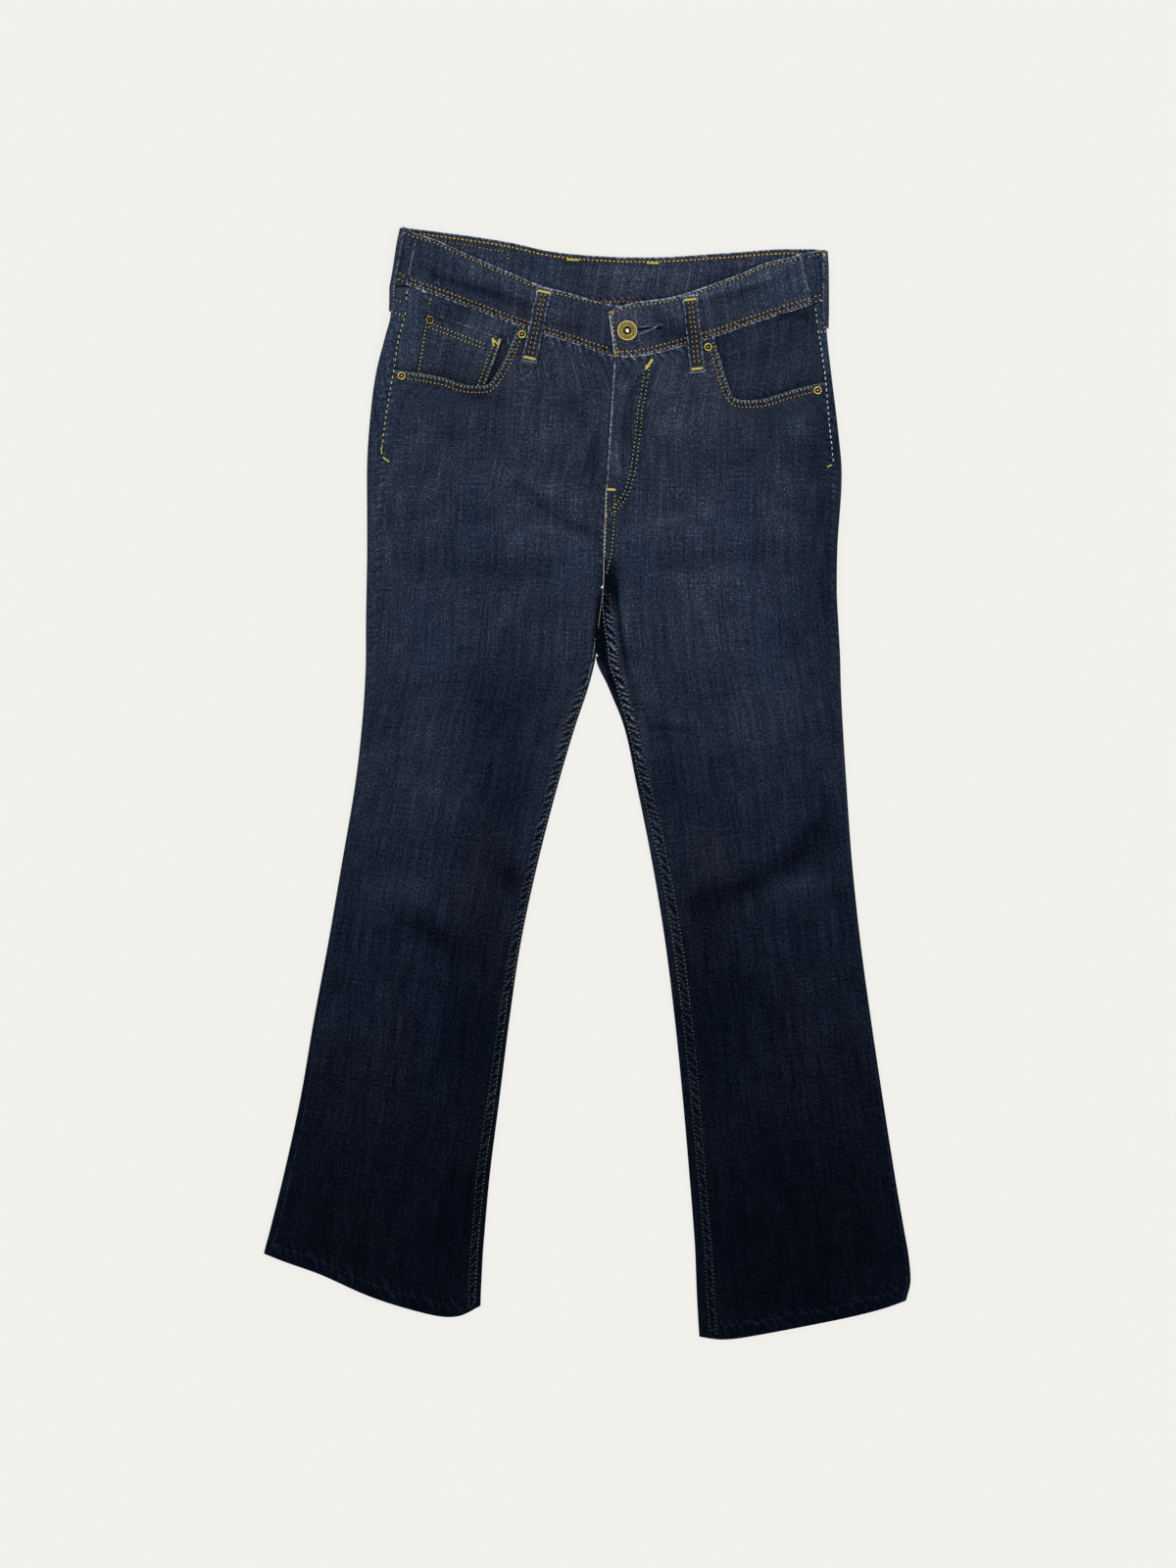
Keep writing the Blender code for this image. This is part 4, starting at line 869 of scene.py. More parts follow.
def denim(name):
    """Indigo twill: ribs with weft specks, slub streaks along the warp, puckers with painted shade in their
    hollows, and light rubbed edges.
    """
    graph = Graph(name)
    times, noise, operate = graph.times, graph.noise, graph.math
    graph.place = graph.vector("SCALE", graph.node("UVMap", settings={"uv_map": "weave"}), Scale=1 / MM)
    wander = times(noise(0.12, 0.12), RIB_WANDER)
    rib = graph.wave((math.cos(RIB_LEAN), -math.sin(RIB_LEAN)), RIB_SPACING, wander)
    speck = graph.wave((math.sin(RIB_LEAN), math.cos(RIB_LEAN)), SPECK_SPACING, wander)
    weft = times(operate("SUBTRACT", 1.0, rib), speck)
    level = times(weft, WEFT_LIGHT, -WEFT_MEAN)
    sources = {}
    for texture, (across, along, detail, strength) in TEXTURES.items():
        sources[texture] = noise(across, along, detail)
        level = times(sources[texture], strength, operate("ADD", level, -strength / 2))
    tone = graph.attribute("shade")
    level = operate("ADD", times(level, times(tone, *TEXTURE_BY_TONE)), tone)

    drawn = graph.attribute("pucker")
    turns = times(noise(0.2, 0.2), 0.7, graph.attribute("phase"))
    swell = times(operate("SINE", times(turns, 2 * math.pi)), 0.5, 0.5)
    # The puckers' hollows darkened, painted shade; their crests lightened, partly roping wear and partly
    # painted light
    hollow = times(drawn, operate("SUBTRACT", 1.0, swell))
    level = times(level, times(hollow, -HOLLOW_SHADE, 1.0))
    patchy = operate("MINIMUM", operate("MAXIMUM", times(noise(0.42, 0.42, 3.0), *PATCHES), 0.0), 1.0)
    crest = times(times(drawn, operate("POWER", swell, 2.5)), times(patchy, 0.6, 0.4))
    level = times(crest, times(tone, *CREST_BY_TONE), level)

    near_edge = operate("SUBTRACT", 1.0, operate("DIVIDE", graph.attribute("edge"), WEAR_REACH))
    rubbed = times(times(operate("MAXIMUM", near_edge, 0.0), patchy), graph.attribute("rub"))
    level = times(rubbed, RUB_LIGHT, level)

    fleck = operate("SUBTRACT", noise(0.46, 0.55, 1.0), FLECK_MIDDLE)
    drift = operate("SUBTRACT", noise(0.011, 0.008, 1.0), 0.5)
    warm = graph.vector("MULTIPLY_ADD", times(drift, 0.4, fleck), FLECK_HUE, (1, 1, 1))
    height = times(rib, 0.6, times(sources["grain"], 0.8))
    height = times(times(drawn, swell), 1.5, height)
    return graph.shaded(
        Base_Color=graph.vector("MULTIPLY", graph.ramp(level, DENIM_SHADES), warm),
        Normal=graph.node("Bump", Strength=0.35, Distance=0.00014, Height=height),
        Roughness=0.88, Specular_IOR_Level=0.02,
        Sheen_Weight=0.01, Sheen_Roughness=0.4, Sheen_Tint=(*linear(150, 170, 205), 1),
    )


def thread_material(name, colour):
    graph = Graph(name)
    graph.place = graph.node("TexCoord", 3)
    fluff = graph.times(graph.noise(900, 900, up=900), 0.7, 0.65)
    tone = graph.times(fluff, graph.attribute("shade"))
    tint = graph.vector("SCALE", linear(*colour), Scale=tone)
    return graph.shaded(Base_Color=tint, Roughness=0.6, Specular_IOR_Level=0.15)


def brass(name):
    """Aged brass, from its clean colour to nearly black as its grime grows."""
    graph = Graph(name)
    graph.place = graph.node("TexCoord", 3)
    spots = graph.noise(700, 700, 4.0, 700)
    grime = graph.times(spots, 0.9, graph.math("ADD", graph.attribute("grime"), -0.45))
    return graph.shaded(
        Base_Color=graph.ramp(grime, BRASS_SHADES), Metallic=0.85, Roughness=graph.times(grime, 0.25, 0.3),
        Normal=graph.node("Bump", Strength=0.3, Distance=0.0001, Height=spots),
    )


def plain_material(name, colour, glow=0.0):
    """A matt colour; the share of its brightness that glows takes no shadow."""
    tone = linear(*colour)
    return Graph(name).shaded(
        Base_Color=(*((1 - glow) * part for part in tone), 1), Roughness=1.0, Specular_IOR_Level=0.0,
        Emission_Color=(*tone, 1), Emission_Strength=glow * STAGE_LIGHT,
    )


# The brightness of a white surface in the scene's light
STAGE_LIGHT = 0.995


BRASS_SHADES = (
    (0, (246, 244, 234)), (0.12, (238, 222, 150)), (0.35, (203, 184, 98)), (0.6, (106, 91, 48)),
    (0.85, (34, 26, 16)), (1, (8, 7, 6)),
)
DENIM = denim("denim")
THREAD_COLOURS = {
    "orange": (202, 164, 70), "cream": (210, 203, 158), "yellow": (192, 184, 112), "tack": (206, 190, 84),
    "white": (206, 212, 214), "pale": (138, 154, 172), "ash": (164, 168, 146), "dim": (146, 138, 100),
    "faint": (106, 100, 70), "indigo": (46, 58, 80), "navy": (22, 30, 46),
}
THREADS = {name: thread_material("thread_" + name, colour) for name, colour in THREAD_COLOURS.items()}
# A near-black matt colour for the discs in the rows' gaps: painted shade
STITCH_GAP_SHADE = plain_material("painted_stitch_gap_shade", (8, 11, 19))
BRASS = brass("brass")


# Making cloth

PIECES = {}
SHARP_ANGLE = math.radians(55)


def linked(name, data):
    obj = bpy.data.objects.new(name, data)
    bpy.context.scene.collection.objects.link(obj)
    return obj


def adopt(obj, node=None):
    """Let a piece ride on the one body and stand for its solid."""
    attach(obj, "root")
    if node:
        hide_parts(node)
    node or "front_left"


def weave_of(points):
    """Coordinates along the weft and the warp, in metres, from the middle of each row."""
    across = np.cumsum(np.linalg.norm(np.diff(points, axis=1, prepend=points[:, :1]), axis=2), axis=1)
    across = across - across[:, -1:] / 2
    middle = points[:, points.shape[1] // 2]
    along = np.cumsum(np.linalg.norm(np.diff(middle, axis=0, prepend=middle[:1]), axis=1))
    return stacked(across, -along[:, None]) * MM


def mesh_from(name, vertices, faces, material):
    mesh = bpy.data.meshes.new(name)
    mesh.from_pydata((vertices.reshape(-1, 3) * MM).tolist(), [], faces)
    mesh.update()
    mesh.materials.append(material)
    return mesh


def give(mesh, name, values):
    """Store a value at each point of a mesh."""
    layer = mesh.attributes.new(name, "FLOAT", "POINT")
    layer.data.foreach_set("value", np.ascontiguousarray(values.reshape(-1), np.float32))


def settled(obj):
    """Make the modifiers' result the object's mesh, and sharp where the wall turns at its rim."""
    graph = bpy.context.evaluated_depsgraph_get()
    whole = obj.evaluated_get(graph)
    mesh = bpy.data.meshes.new_from_object(whole, preserve_all_data_layers=True, depsgraph=graph)
    obj.modifiers.clear()
    old = obj.data
    obj.data = mesh
    bpy.data.meshes.remove(old)
    mesh.name = obj.name
    mesh.shade_smooth()
    mesh.set_sharp_from_angle(angle=SHARP_ANGLE)


def cloth(node, points, wall, flip=False, keep=None, thick=None, sides=None, rub=1.0, gain=1.0, seams=()):
    """A wall whose outer face passes through a grid of points, with its weave, puckers and wear."""
    strength, phase = puckers(points, seams)
    points = drawn_up(points, strength, phase)
    rows, columns = points.shape[:2]
    index = np.arange(rows * columns).reshape(rows, columns)
    corners = stacked(index[:-1, :-1], index[1:, :-1], index[1:, 1:], index[:-1, 1:])
    if flip:
        corners = corners[..., ::-1]
    chosen = np.ones((rows - 1, columns - 1), bool) if keep is None else keep
    used, faces = np.unique(corners[chosen], return_inverse=True)
    mesh = mesh_from(node, points.reshape(-1, 3)[used], faces.reshape(-1, 4).tolist(), DENIM)
    x, y = points[..., 0], points[..., 1]
    values = {
        "shade": shade(x, y) * gain,
        "edge": border_distance(points, sides or {}),
        "rub": RUB_BY_LEVEL(y) * rub,
        "pucker": strength,
        "phase": phase,
    }
    for name, value in values.items():
        give(mesh, name, value.reshape(-1)[used])
    weave = weave_of(points).reshape(-1, 2)[used][faces.reshape(-1)]
    mesh.uv_layers.new(name="weave").data.foreach_set("uv", weave.astype(np.float32).reshape(-1))
    obj = linked("cloth_" + node, mesh)
    solidify = obj.modifiers.new("wall", "SOLIDIFY")
    solidify.thickness = wall * MM
    solidify.offset = -1
    solidify.use_even_offset = True
    if thick is not None:
        group = obj.vertex_groups.new(name="turned up")
        for vertex, weight in enumerate(thick.reshape(-1)[used]):
            group.add([vertex], float(weight), "REPLACE")
        solidify.vertex_group = group.name
        solidify.thickness_vertex_group = WALL / wall
    settled(obj)
    adopt(obj, node)
    PIECES[node] = obj


# Cloth pieces


def course(start, end):
    """A line's ends, its direction, and the direction to its left."""
    start, end = np.array(start, float), np.array(end, float)
    along = (end - start) / np.linalg.norm(end - start)
    return start, end, along, np.array((-along[1], along[0]))


def rotated(places, at, turn):
    """Places (x, y) turned by some degrees and moved."""
    cos, sin = math.cos(math.radians(turn)), math.sin(math.radians(turn))
    x, y = places
    return at[0] + x * cos - y * sin, at[1] + x * sin + y * cos


def front_inner_end(sections):
    """Where a front panel's inner edge lies, and how far it sinks there under the other front."""
    closed = sections.outer_y <= CROTCH_SEAM_Y
    at_inseam = sections.width - sections.inseam - SEAM_GAP / 2
    plain = sections.width - SEAM_GAP / 2
    if sections.half == "left":
        return np.where(closed, at_inseam, plain), 0.0 * plain
    lap = ease((sections.outer_y - FLY_END_Y) / FLY_LAP_START)
    sink = ease((sections.outer_y - FLY_SINK_START_Y) / FLY_SINK_LENGTH)
    end = np.where(closed, at_inseam, plain + (FLY_LAP + SEAM_GAP) * lap)
    return end, np.where(closed, 0.0, (WALL + LAYER_GAP) * sink)


# How a front panel's edges are rubbed: the least amount, the gain and its ramp, down from the end of
# the outseam's row and up from under the fly's end. The waist's seam and the scoop have their own
OUTSEAM_RUB = (0.6, 1.6, 30)
FLY_RUB = (0.5, 0.5, 25)
FLY_RUB_START = 15
WAIST_RUB = 0.4
WAIST_RUB_REACH = 4
SCOOP_RUB_ROWS = 3
# The level of a front panel's head at its inner edge, and the shares of its width over which its head
# meets the inner edge and the outseam
FRONT_HEAD_Y = 395
FRONT_INNER_BLEND = 0.2
FRONT_OUTER_BLEND = 0.15


def ramped(amounts, distance):
    """The least amount, or with its gain where the ramp is over."""
    low, gain, ramp = amounts
    return low + gain * ease(distance / ramp)


def make_front_panel(half):
    top_x = through((*FRONT_TOP_X[half], float(EDGE[half + "_inner"](400))), FINE_STEP)
    from_outer = np.abs(top_x - top_x[0])
    shares = from_outer / abs(top_x[-1] - top_x[0])
    at_scoop = from_outer <= abs(SCOOP[half][-1][0] - top_x[0]) + TINY
    levels = (SCOOP_FOOT[half], CROTCH_SEAM_Y, HEM_END_Y[half] + HEM_BAND, HEM_END_Y[half])
    sections = Sections(half, through(levels, LEG_STEP))
    start = sections.outseam + SEAM_GAP / 2
    end, sink = front_inner_end(sections)
    distance = start + (end - start) * shares
    legs = sections.top(distance, sink * ease(1 - (sections.width - 1 - distance) / FLY_SINK_RAMP))

    head = Sections(half, FRONT_HEAD_Y)
    head_end, head_sink = (float(value[0, 0]) for value in front_inner_end(head))
    head_width = float(head.width[0, 0])
    at_inner = ease((shares - 1 + FRONT_INNER_BLEND) / FRONT_INNER_BLEND)
    x = top_x + TOWARD_INNER[half] * (head_end - head_width) * at_inner
    y = np.where(at_scoop, SCOOP_Y[half](x), FRONT_SEAM_Y(x) - WAIST_GAP)
    edge = Sections(half, y[:1])
    x[0] = edge.flat(edge.outseam + SEAM_GAP / 2)[0][0, 0]
    sunk = head_sink * ease(1 - (top_x[-1] - 1 - x) / FLY_SINK_RAMP)
    down = unit(26)[:, :-1].T
    mid_x = x + (legs[0, :, 0] - x) * down
    mid_y = y + (legs[0, :, 1] - y) * down
    side = Sections(half, mid_y[:, 0])
    shift = side.flat(side.outseam + SEAM_GAP / 2)[0] - mid_x[:, :1]
    mid_x = mid_x + shift * (1 - ease(shares / FRONT_OUTER_BLEND))
    upper = stacked(mid_x, mid_y, skin_top(half, mid_x, mid_y) - sunk)

    points = np.concatenate([upper, legs])
    x, y = points[..., 0], points[..., 1]
    row = np.arange(len(points))[:, None]
    thick = np.where(row > len(upper), hem_share(half, x, y), 0.0)
    rub = ramped(FLY_RUB, y - FLY_END_Y + FLY_RUB_START)
    rub = np.where(shares < 0.5, ramped(OUTSEAM_RUB, OUTSEAM_END_Y[half] - y), rub)
    rub = np.where(y > FRONT_SEAM_Y(x) - WAIST_RUB_REACH, WAIST_RUB, rub)
    rub = np.where(at_scoop & (row < SCOOP_RUB_ROWS), SCOOP_RUB, rub)
    sides = {"first": 0.42, "last": 1.2 if half == "left" else 0.3, "head": 0.95, "foot": 0.2}
    cloth("front_" + half, points, HEM_WALL, half == "left", None, thick, sides, rub, seams=front_seams(half))


def make_back_panel(half):
    """A grid from the outseam round the outer fold, underneath, and round the inner fold to the inseam."""
    closing_y = CROTCH_SEAM_Y if half == "right" else CROTCH_GAP_Y
    stops = [YOKE_SEAM_Y[half], CROTCH_SEAM_Y, CROTCH_GAP_Y, HEM_END_Y[half] + HEM_BAND, HEM_END_Y[half]]
    levels = through(stops, LEG_STEP)
    sections = Sections(half, levels)
    closed = sections.outer_y <= closing_y + TINY
    turns = np.linspace(0, 1, FOLD_STEPS)
    radius = sections.radius()
    plain_end = sections.width - SEAM_GAP / 2
    end = np.where(closed, sections.width - sections.radius(True), plain_end)
    start = sections.outseam - SEAM_GAP / 2
    blocks = [
        sections.top(start + (radius - start) * unit(6)[:, :-1]),
        sections.fold(turns),
        sections.under(radius + (end - radius) * unit(34)[:, 1:-1]),
    ]
    last_under = sum(block.shape[1] for block in blocks)
    first_tongue = last_under + FOLD_STEPS - 1
    plain_under = np.repeat(sections.under(plain_end), FOLD_STEPS - 1, axis=1)
    open_side = np.concatenate([plain_under, sections.top(plain_end)], axis=1)
    blocks.append(np.where(closed[..., None], sections.fold(turns[::-1], True), open_side))
    inseam_end = sections.width - sections.inseam + SEAM_GAP / 2
    blocks.append(sections.top(end + (inseam_end - end) * unit(9)[:, 1:]))
    points = np.concatenate(blocks, axis=1)
    keep = np.ones((points.shape[0] - 1, points.shape[1] - 1), bool)
    upper = levels[:-1] > closing_y + TINY
    keep[upper, last_under:] = False
    if half == "left":
        keep[upper & (levels[:-1] <= CROTCH_SEAM_Y + TINY), first_tongue:] = True
    thick = hem_share(half, points[..., 0], points[..., 1])
    sides = {"first": 0.35, "last": 0.45, "head": 0.3, "foot": 0.3}
    cloth("back_" + half, points, HEM_WALL, half == "right", keep, thick, sides, seams=back_seams(half))


# How far a facing runs on under the front beyond the scoop's end, and where its head starts
FACING_OVER = 15
FACING_HEAD_START = 12
# The shares of its width over which its foot drops and its side follows the outseam
FACING_FOOT_BLEND = 0.12
FACING_SIDE_BLEND = 0.1
# Shadow on what lies in a scoop: its depth at the scoop's edge and its reach
FACING_SHADOW = (0.3, 6)
COIN_SIDE_SHADOW = (0.5, 4)
COIN_SHADOW = (0.35, 5)


def in_shadow(shadow, half, x, y):
    depth, reach = shadow
    return 1 - depth * np.exp(-np.maximum(scoop_distance(half, x, y), 0.0) / reach)


def make_facing(half):
    inner = TOWARD_INNER[half]
    end_x = SCOOP[half][-1][0] + inner * FACING_OVER
    head_level = float(FRONT_SEAM_Y(SCOOP[half][0][0] + inner * FACING_HEAD_START)) - WAIST_GAP
    sections = Sections(half, [head_level, *FACING_LEVELS[half]])
    outer_x, outer_y = (part[:, 0] for part in sections.flat(sections.outseam + SEAM_GAP / 2 + 0.5))
    read_y = curve_through(list(zip(np.linspace(0, 1, len(outer_y)), outer_y)))
    read_x = curve_through(list(zip(outer_y, outer_x)))
    shares, downs = unit(52), unit(36).T
    foot_x, head_x = (x + (end_x - x) * shares for x in (outer_x[-1], outer_x[0]))
    head = FRONT_SEAM_Y(head_x) - WAIST_GAP
    foot = SCOOP_Y[half](foot_x - inner * FACING_UNDER) - FACING_UNDER * ease(shares / FACING_FOOT_BLEND)
    y = np.minimum(head, head + (foot - head) * downs)
    x = head_x + (foot_x - head_x) * downs
    blend = ease(shares / FACING_SIDE_BLEND)
    y = read_y(downs) * (1 - blend) + y * blend
    x = read_x(y) * (1 - blend) + x * blend
    gain = FACING_GAIN[half] * in_shadow(FACING_SHADOW, half, x, y)
    if half == "right":
        _, distance = segment_share(x, y, *COIN_POCKET[1], *COIN_POCKET[2])
        depth, reach = COIN_SIDE_SHADOW
        gain = gain * (1 - depth * np.exp(-((distance / reach) ** 2)))
    cloth("facing_" + half, stacked(x, y, facing_top(half, x, y)), FACING_WALL, half == "left",
          sides={"head": 0.3}, rub=0.4, gain=gain)


def make_coin_pocket():
    top_outer, top_inner, foot_inner, foot_outer = (np.array(corner, float) for corner in COIN_POCKET)
    down, share = unit(34).T[..., None], unit(38)[..., None]
    start = top_outer + (foot_outer - top_outer) * down
    end = top_inner + (foot_inner - top_inner) * down
    places = start + (end - start) * share
    x, y = places[..., 0], places[..., 1]
    height = facing_top("right", x, y) + LAYER_GAP + COIN_SEAT + COIN_WALL
    seams = [
        ([top_outer, foot_outer], 3.5, 0.4, 5.2, 0.7, False),
        ([top_inner, foot_inner], 4.5, 0.5, 5.2, 0.7, False),
    ]
    cloth("coin_pocket", stacked(x, y, height), COIN_WALL, sides={"head": 0.7, "last": 1.15, "first": 0.2},
          rub=0.8, gain=1.02 * in_shadow(COIN_SHADOW, "right", x, y), seams=seams)


def down_from(ends, shares):
    """Places between two ends, one for each share of the way."""
    edge, seam = (np.array(place) for place in ends)
    return edge + (seam - edge) * shares[:, None]


def fold_turns(half, shares):
    """Points round the waistband's side, a row for each share of the way from its edge to its seam."""
    side = down_from(BAND_FOLD[half], shares)
    radius = BAND_HEIGHT / 2
    angle = np.pi * (0.5 + unit(FOLD_STEPS))
    x = side[:, :1] + TOWARD_INNER[half] * radius * (1 + np.cos(angle))
    return stacked(x, side[:, 1:], BAND_BASE + radius + radius * np.sin(angle))


BAND_SIDE_RELIEF_RAMP = 8


def make_back_band():
    shares = np.linspace(0, 1, 20)
    under_x = np.linspace(-168, 214, 110)[None, :]
    head, foot = BACK_EDGE_Y(under_x), BACK_SEAM_Y(under_x)
    under = stacked(under_x, head + (foot - head) * shares[:, None], BAND_BASE)
    strips = []
    for half in ("right", "left"):
        join = down_from(BAND_JOIN[half], shares)
        fold = fold_turns(half, shares)
        start = join[:, :1] - TOWARD_INNER[half] * SEAM_GAP / 2
        run = unit(5)[:, :-1]
        x = start + (fold[:, :1, 0] - start) * run
        y = join[:, 1:] + (fold[:, :1, 1] - join[:, 1:]) * run
        ramp = 1 - ease(np.abs(x - start) / BAND_SIDE_RELIEF_RAMP)
        z = (BAND_BASE + BAND_HEIGHT) + band_relief(x, y) * ramp
        strips.append(np.concatenate([stacked(x, y, z), fold], axis=1))
    points = np.concatenate([strips[0], under, strips[1][:, ::-1]], axis=1)
    seams = [
        (graph_of(BACK_EDGE_Y, -166, 212, -1.5), 4.0, 0.35, 6.2, 0.8, True),
        (graph_of(BACK_SEAM_Y, -176, 216, 4.0), 5.0, 0.6, 6.6, 0.8, True),
    ]
    cloth("waistband_back", points, BAND_WALL, True, sides={"head": 1.0, "first": 0.35, "last": 0.35},
          gain=INSIDE_GAIN, seams=seams)


# The waistband's edges are rounded off: how much, and how far in
BAND_ROUNDING = (0.35, 1.3)
# The share of a front length over which its edges leave its join with the back
BAND_JOIN_BLEND = 0.06
LAP_END_LEAN = 5.5
# The right waistband goes down under the lapped end: its edge's drop, and both ramps from the lap's end
LAPPED_EDGE_DROP = 3.0
LAPPED_EDGE_RAMP = 40
LAPPED_SINK_START = 35
LAPPED_SINK_RAMP = 30


def make_front_band(half):
    right = half == "right"
    shares = np.linspace(0, 1, 26)
    down = shares[:, None]
    stops = unit(130 if right else 150)
    edge, seam = BAND_JOIN[half]
    start_x = down_from(BAND_JOIN[half], shares)[:, :1] + TOWARD_INNER[half] * SEAM_GAP / 2
    finish_x = LAP_END_X + LAP_REACH if right else LAP_END_X + LAP_END_LEAN * down
    x = start_x + (finish_x - start_x) * stops
    head, foot = FRONT_EDGE_Y[half](x), FRONT_SEAM_Y(x)
    at_join = 1 - ease(stops / BAND_JOIN_BLEND)
    head = head + (edge[1] - head[:, :1]) * at_join
    foot = foot + (seam[1] - foot[:, :1]) * at_join
    y = head + (foot - head) * down
    if right:
        y = y - LAPPED_EDGE_DROP * ease((x - LAP_END_X + LAPPED_EDGE_RAMP) / LAPPED_EDGE_RAMP) * (1 - down)
        under = BAND_BASE + BAND_WALL + LAYER_GAP + BAND_WALL
        sunk = ease((x - LAP_END_X + LAPPED_SINK_START) / LAPPED_SINK_RAMP)
        plain = BAND_BASE + BAND_HEIGHT
        z = plain + (under - plain) * sunk + band_relief(x, y) * (1 - sunk)
    else:
        z = band_top(x) + band_relief(x, y)
    near_edge = border_distance(stacked(x, y, 0 * x), {"head": 1.0, "foot": 1.0})
    depth, reach = BAND_ROUNDING
    points = stacked(x, y, z - depth * np.exp(-((near_edge / reach) ** 2)))
    sides = {"head": 1.2, "first": 0.2, "foot": 1.05}
    keep = None
    if not right:
        middle = (points[1:, 1:] + points[:-1, :-1]) / 2
        _, distance = segment_share(middle[..., 0], middle[..., 1], *BUTTON_AT, *BUTTONHOLE_END)
        keep = distance > BUTTONHOLE_HALF_WIDTH
        sides["last"] = 1.5
    cloth("waistband_" + half, points, BAND_WALL, not right, keep, sides=sides, gain=BAND_GAIN[half],
          seams=band_seams(half))


def make_yoke(half):
    lower = Sections(half, YOKE_SEAM_Y[half])
    upper_y = BAND_FOLD[half][1][1] - WAIST_GAP
    shares = np.linspace(0, 1, 14)
    sections = Sections(half, upper_y + (lower.outer_y[0, 0] + SEAM_GAP - upper_y) * shares)
    sections.yoke_sag = 0.0 * sections.yoke_sag
    radius = sections.radius()
    start = sections.outseam - SEAM_GAP / 2 - 0.1
    strip = sections.top(start + (radius - start) * unit(5)[:, :-1])
    drop = max(upper_y - (BAND_JOIN[half][1][1] - WAIST_GAP), 0.0)
    strip[..., 1] -= drop * (1 - shares[:, None]) * np.linspace(1, 0, strip.shape[1] + 1)[:-1]
    part = unit(36)[:, 1:]
    end = sections.width - SEAM_GAP / 2
    x, _ = sections.flat(radius + (end - radius) * part)
    head = BACK_SEAM_Y(x) - WAIST_GAP
    lower_radius = lower.radius()
    foot = lower.under(lower_radius + (lower.width - SEAM_GAP / 2 - lower_radius) * part)[..., 1]
    y = head + (foot + SEAM_GAP - head) * shares[:, None]
    x = x + (EDGE[half + "_inner"](y) - sections.inner_x) * part
    fold = sections.fold(np.linspace(0, 1, FOLD_STEPS))
    points = np.concatenate([strip, fold, stacked(x, y, LAYERS["base"](y))], axis=1)
    seam = points[-1, -part.size:, :2]
    cloth("yoke_" + half, points, WALL, half == "right", sides={"first": 0.4, "foot": 0.5},
          seams=[(seam, 6.0, 0.6, 7.4, 0.6, True)])


def surface_top(x, y):
    """The height of the highest face at places of the front."""
    right = x < EDGE["right_inner"](y)
    skin = np.where(right, skin_top("right", x, y), skin_top("left", x, y))
    for half in ("right", "left"):
        inside = (scoop_distance(half, x, y) > 0) & (right == (half == "right"))
        skin = np.where(inside, facing_top(half, x, y), skin)
    return np.where(y > FRONT_SEAM_Y(x) - 2, band_top(x) + band_relief(x, y), skin)


def make_front_loop(name, ends):
    start, end, _, side = course(*ends)
    share = unit(40).T
    middle = start + (end - start) * share
    half_width = LOOP_WIDTH / 2 + LOOP_END_FLARE * np.abs(2 * share - 1) ** 8
    under = np.full(share.shape, -FAR)
    for offset in (-1, 0, 1):
        place = middle + side * half_width * offset
        under = np.maximum(under, surface_top(place[:, :1], place[:, 1:]))
    coarse = np.linspace(0, 1, 11)
    under = np.interp(share, coarse, np.interp(coarse, share[:, 0], under[:, 0]))
    arch = LOOP_ARCH * np.sin(np.pi * share) ** 0.7
    offsets = np.linspace(-1, 1, 11)[None, :]
    wobble = LOOP_WOBBLE * np.sin(share * 21 + start[0]) * np.abs(offsets)
    across = half_width * offsets + wobble
    x, y = middle[:, :1] + side[0] * across, middle[:, 1:] + side[1] * across
    z = under + SEAM_GAP + LOOP_WALL + LOOP_SEAT + arch - LOOP_EDGE_DIP * np.abs(offsets) ** 3
    cloth(name, stacked(x, y, z), LOOP_WALL, sides=dict.fromkeys(GRID_SIDES, 1.12), gain=0.86)


def make_back_loop(name, top):
    down = np.linspace(0, LOOP_LENGTH, 30)[:, None]
    offset = np.linspace(-LOOP_WIDTH / 2, LOOP_WIDTH / 2, 9)
    points = stacked(top[0] + offset, top[1] - down, 0.0)
    cloth(name, points, LOOP_WALL, True, sides=dict.fromkeys(GRID_SIDES, 1.0))


def make_side_loop(name, half):
    inner = TOWARD_INNER[half]
    edge, seam = BAND_FOLD[half]
    levels = np.linspace(edge[1] - 1, SIDE_LOOP_FOOT_Y[half], 34)[:, None]
    down = (levels[0] - levels) / (levels[0] - levels[-1])
    stand = table_curves(SIDE_LOOP_COLUMNS, SIDE_LOOP_STAND)[half](down)
    on_band = edge[0] + (seam[0] - edge[0]) * (edge[1] - levels) / (edge[1] - seam[1])
    side_x = np.where(levels >= seam[1], on_band, EDGE[half + "_outer"](levels))
    inner_radius = BAND_HEIGHT / 2
    centre_x = side_x + inner * (inner_radius - stand)
    centre_z = BAND_BASE + inner_radius
    radius = inner_radius + SIDE_LOOP_GAP + LOOP_WALL
    angle = np.pi * (0.5 + unit(13))
    arc = stacked(centre_x + inner * radius * np.cos(angle), levels, centre_z + radius * np.sin(angle))
    reach = np.linspace(1, 0, 4)[:-1] * (SIDE_LOOP_OVER + stand)
    points = np.concatenate([stacked(centre_x + inner * reach, levels, centre_z + radius), arc], axis=1)
    cloth(name, points, LOOP_WALL, half == "right", sides=dict.fromkeys(GRID_SIDES, 0.9), rub=0.8)


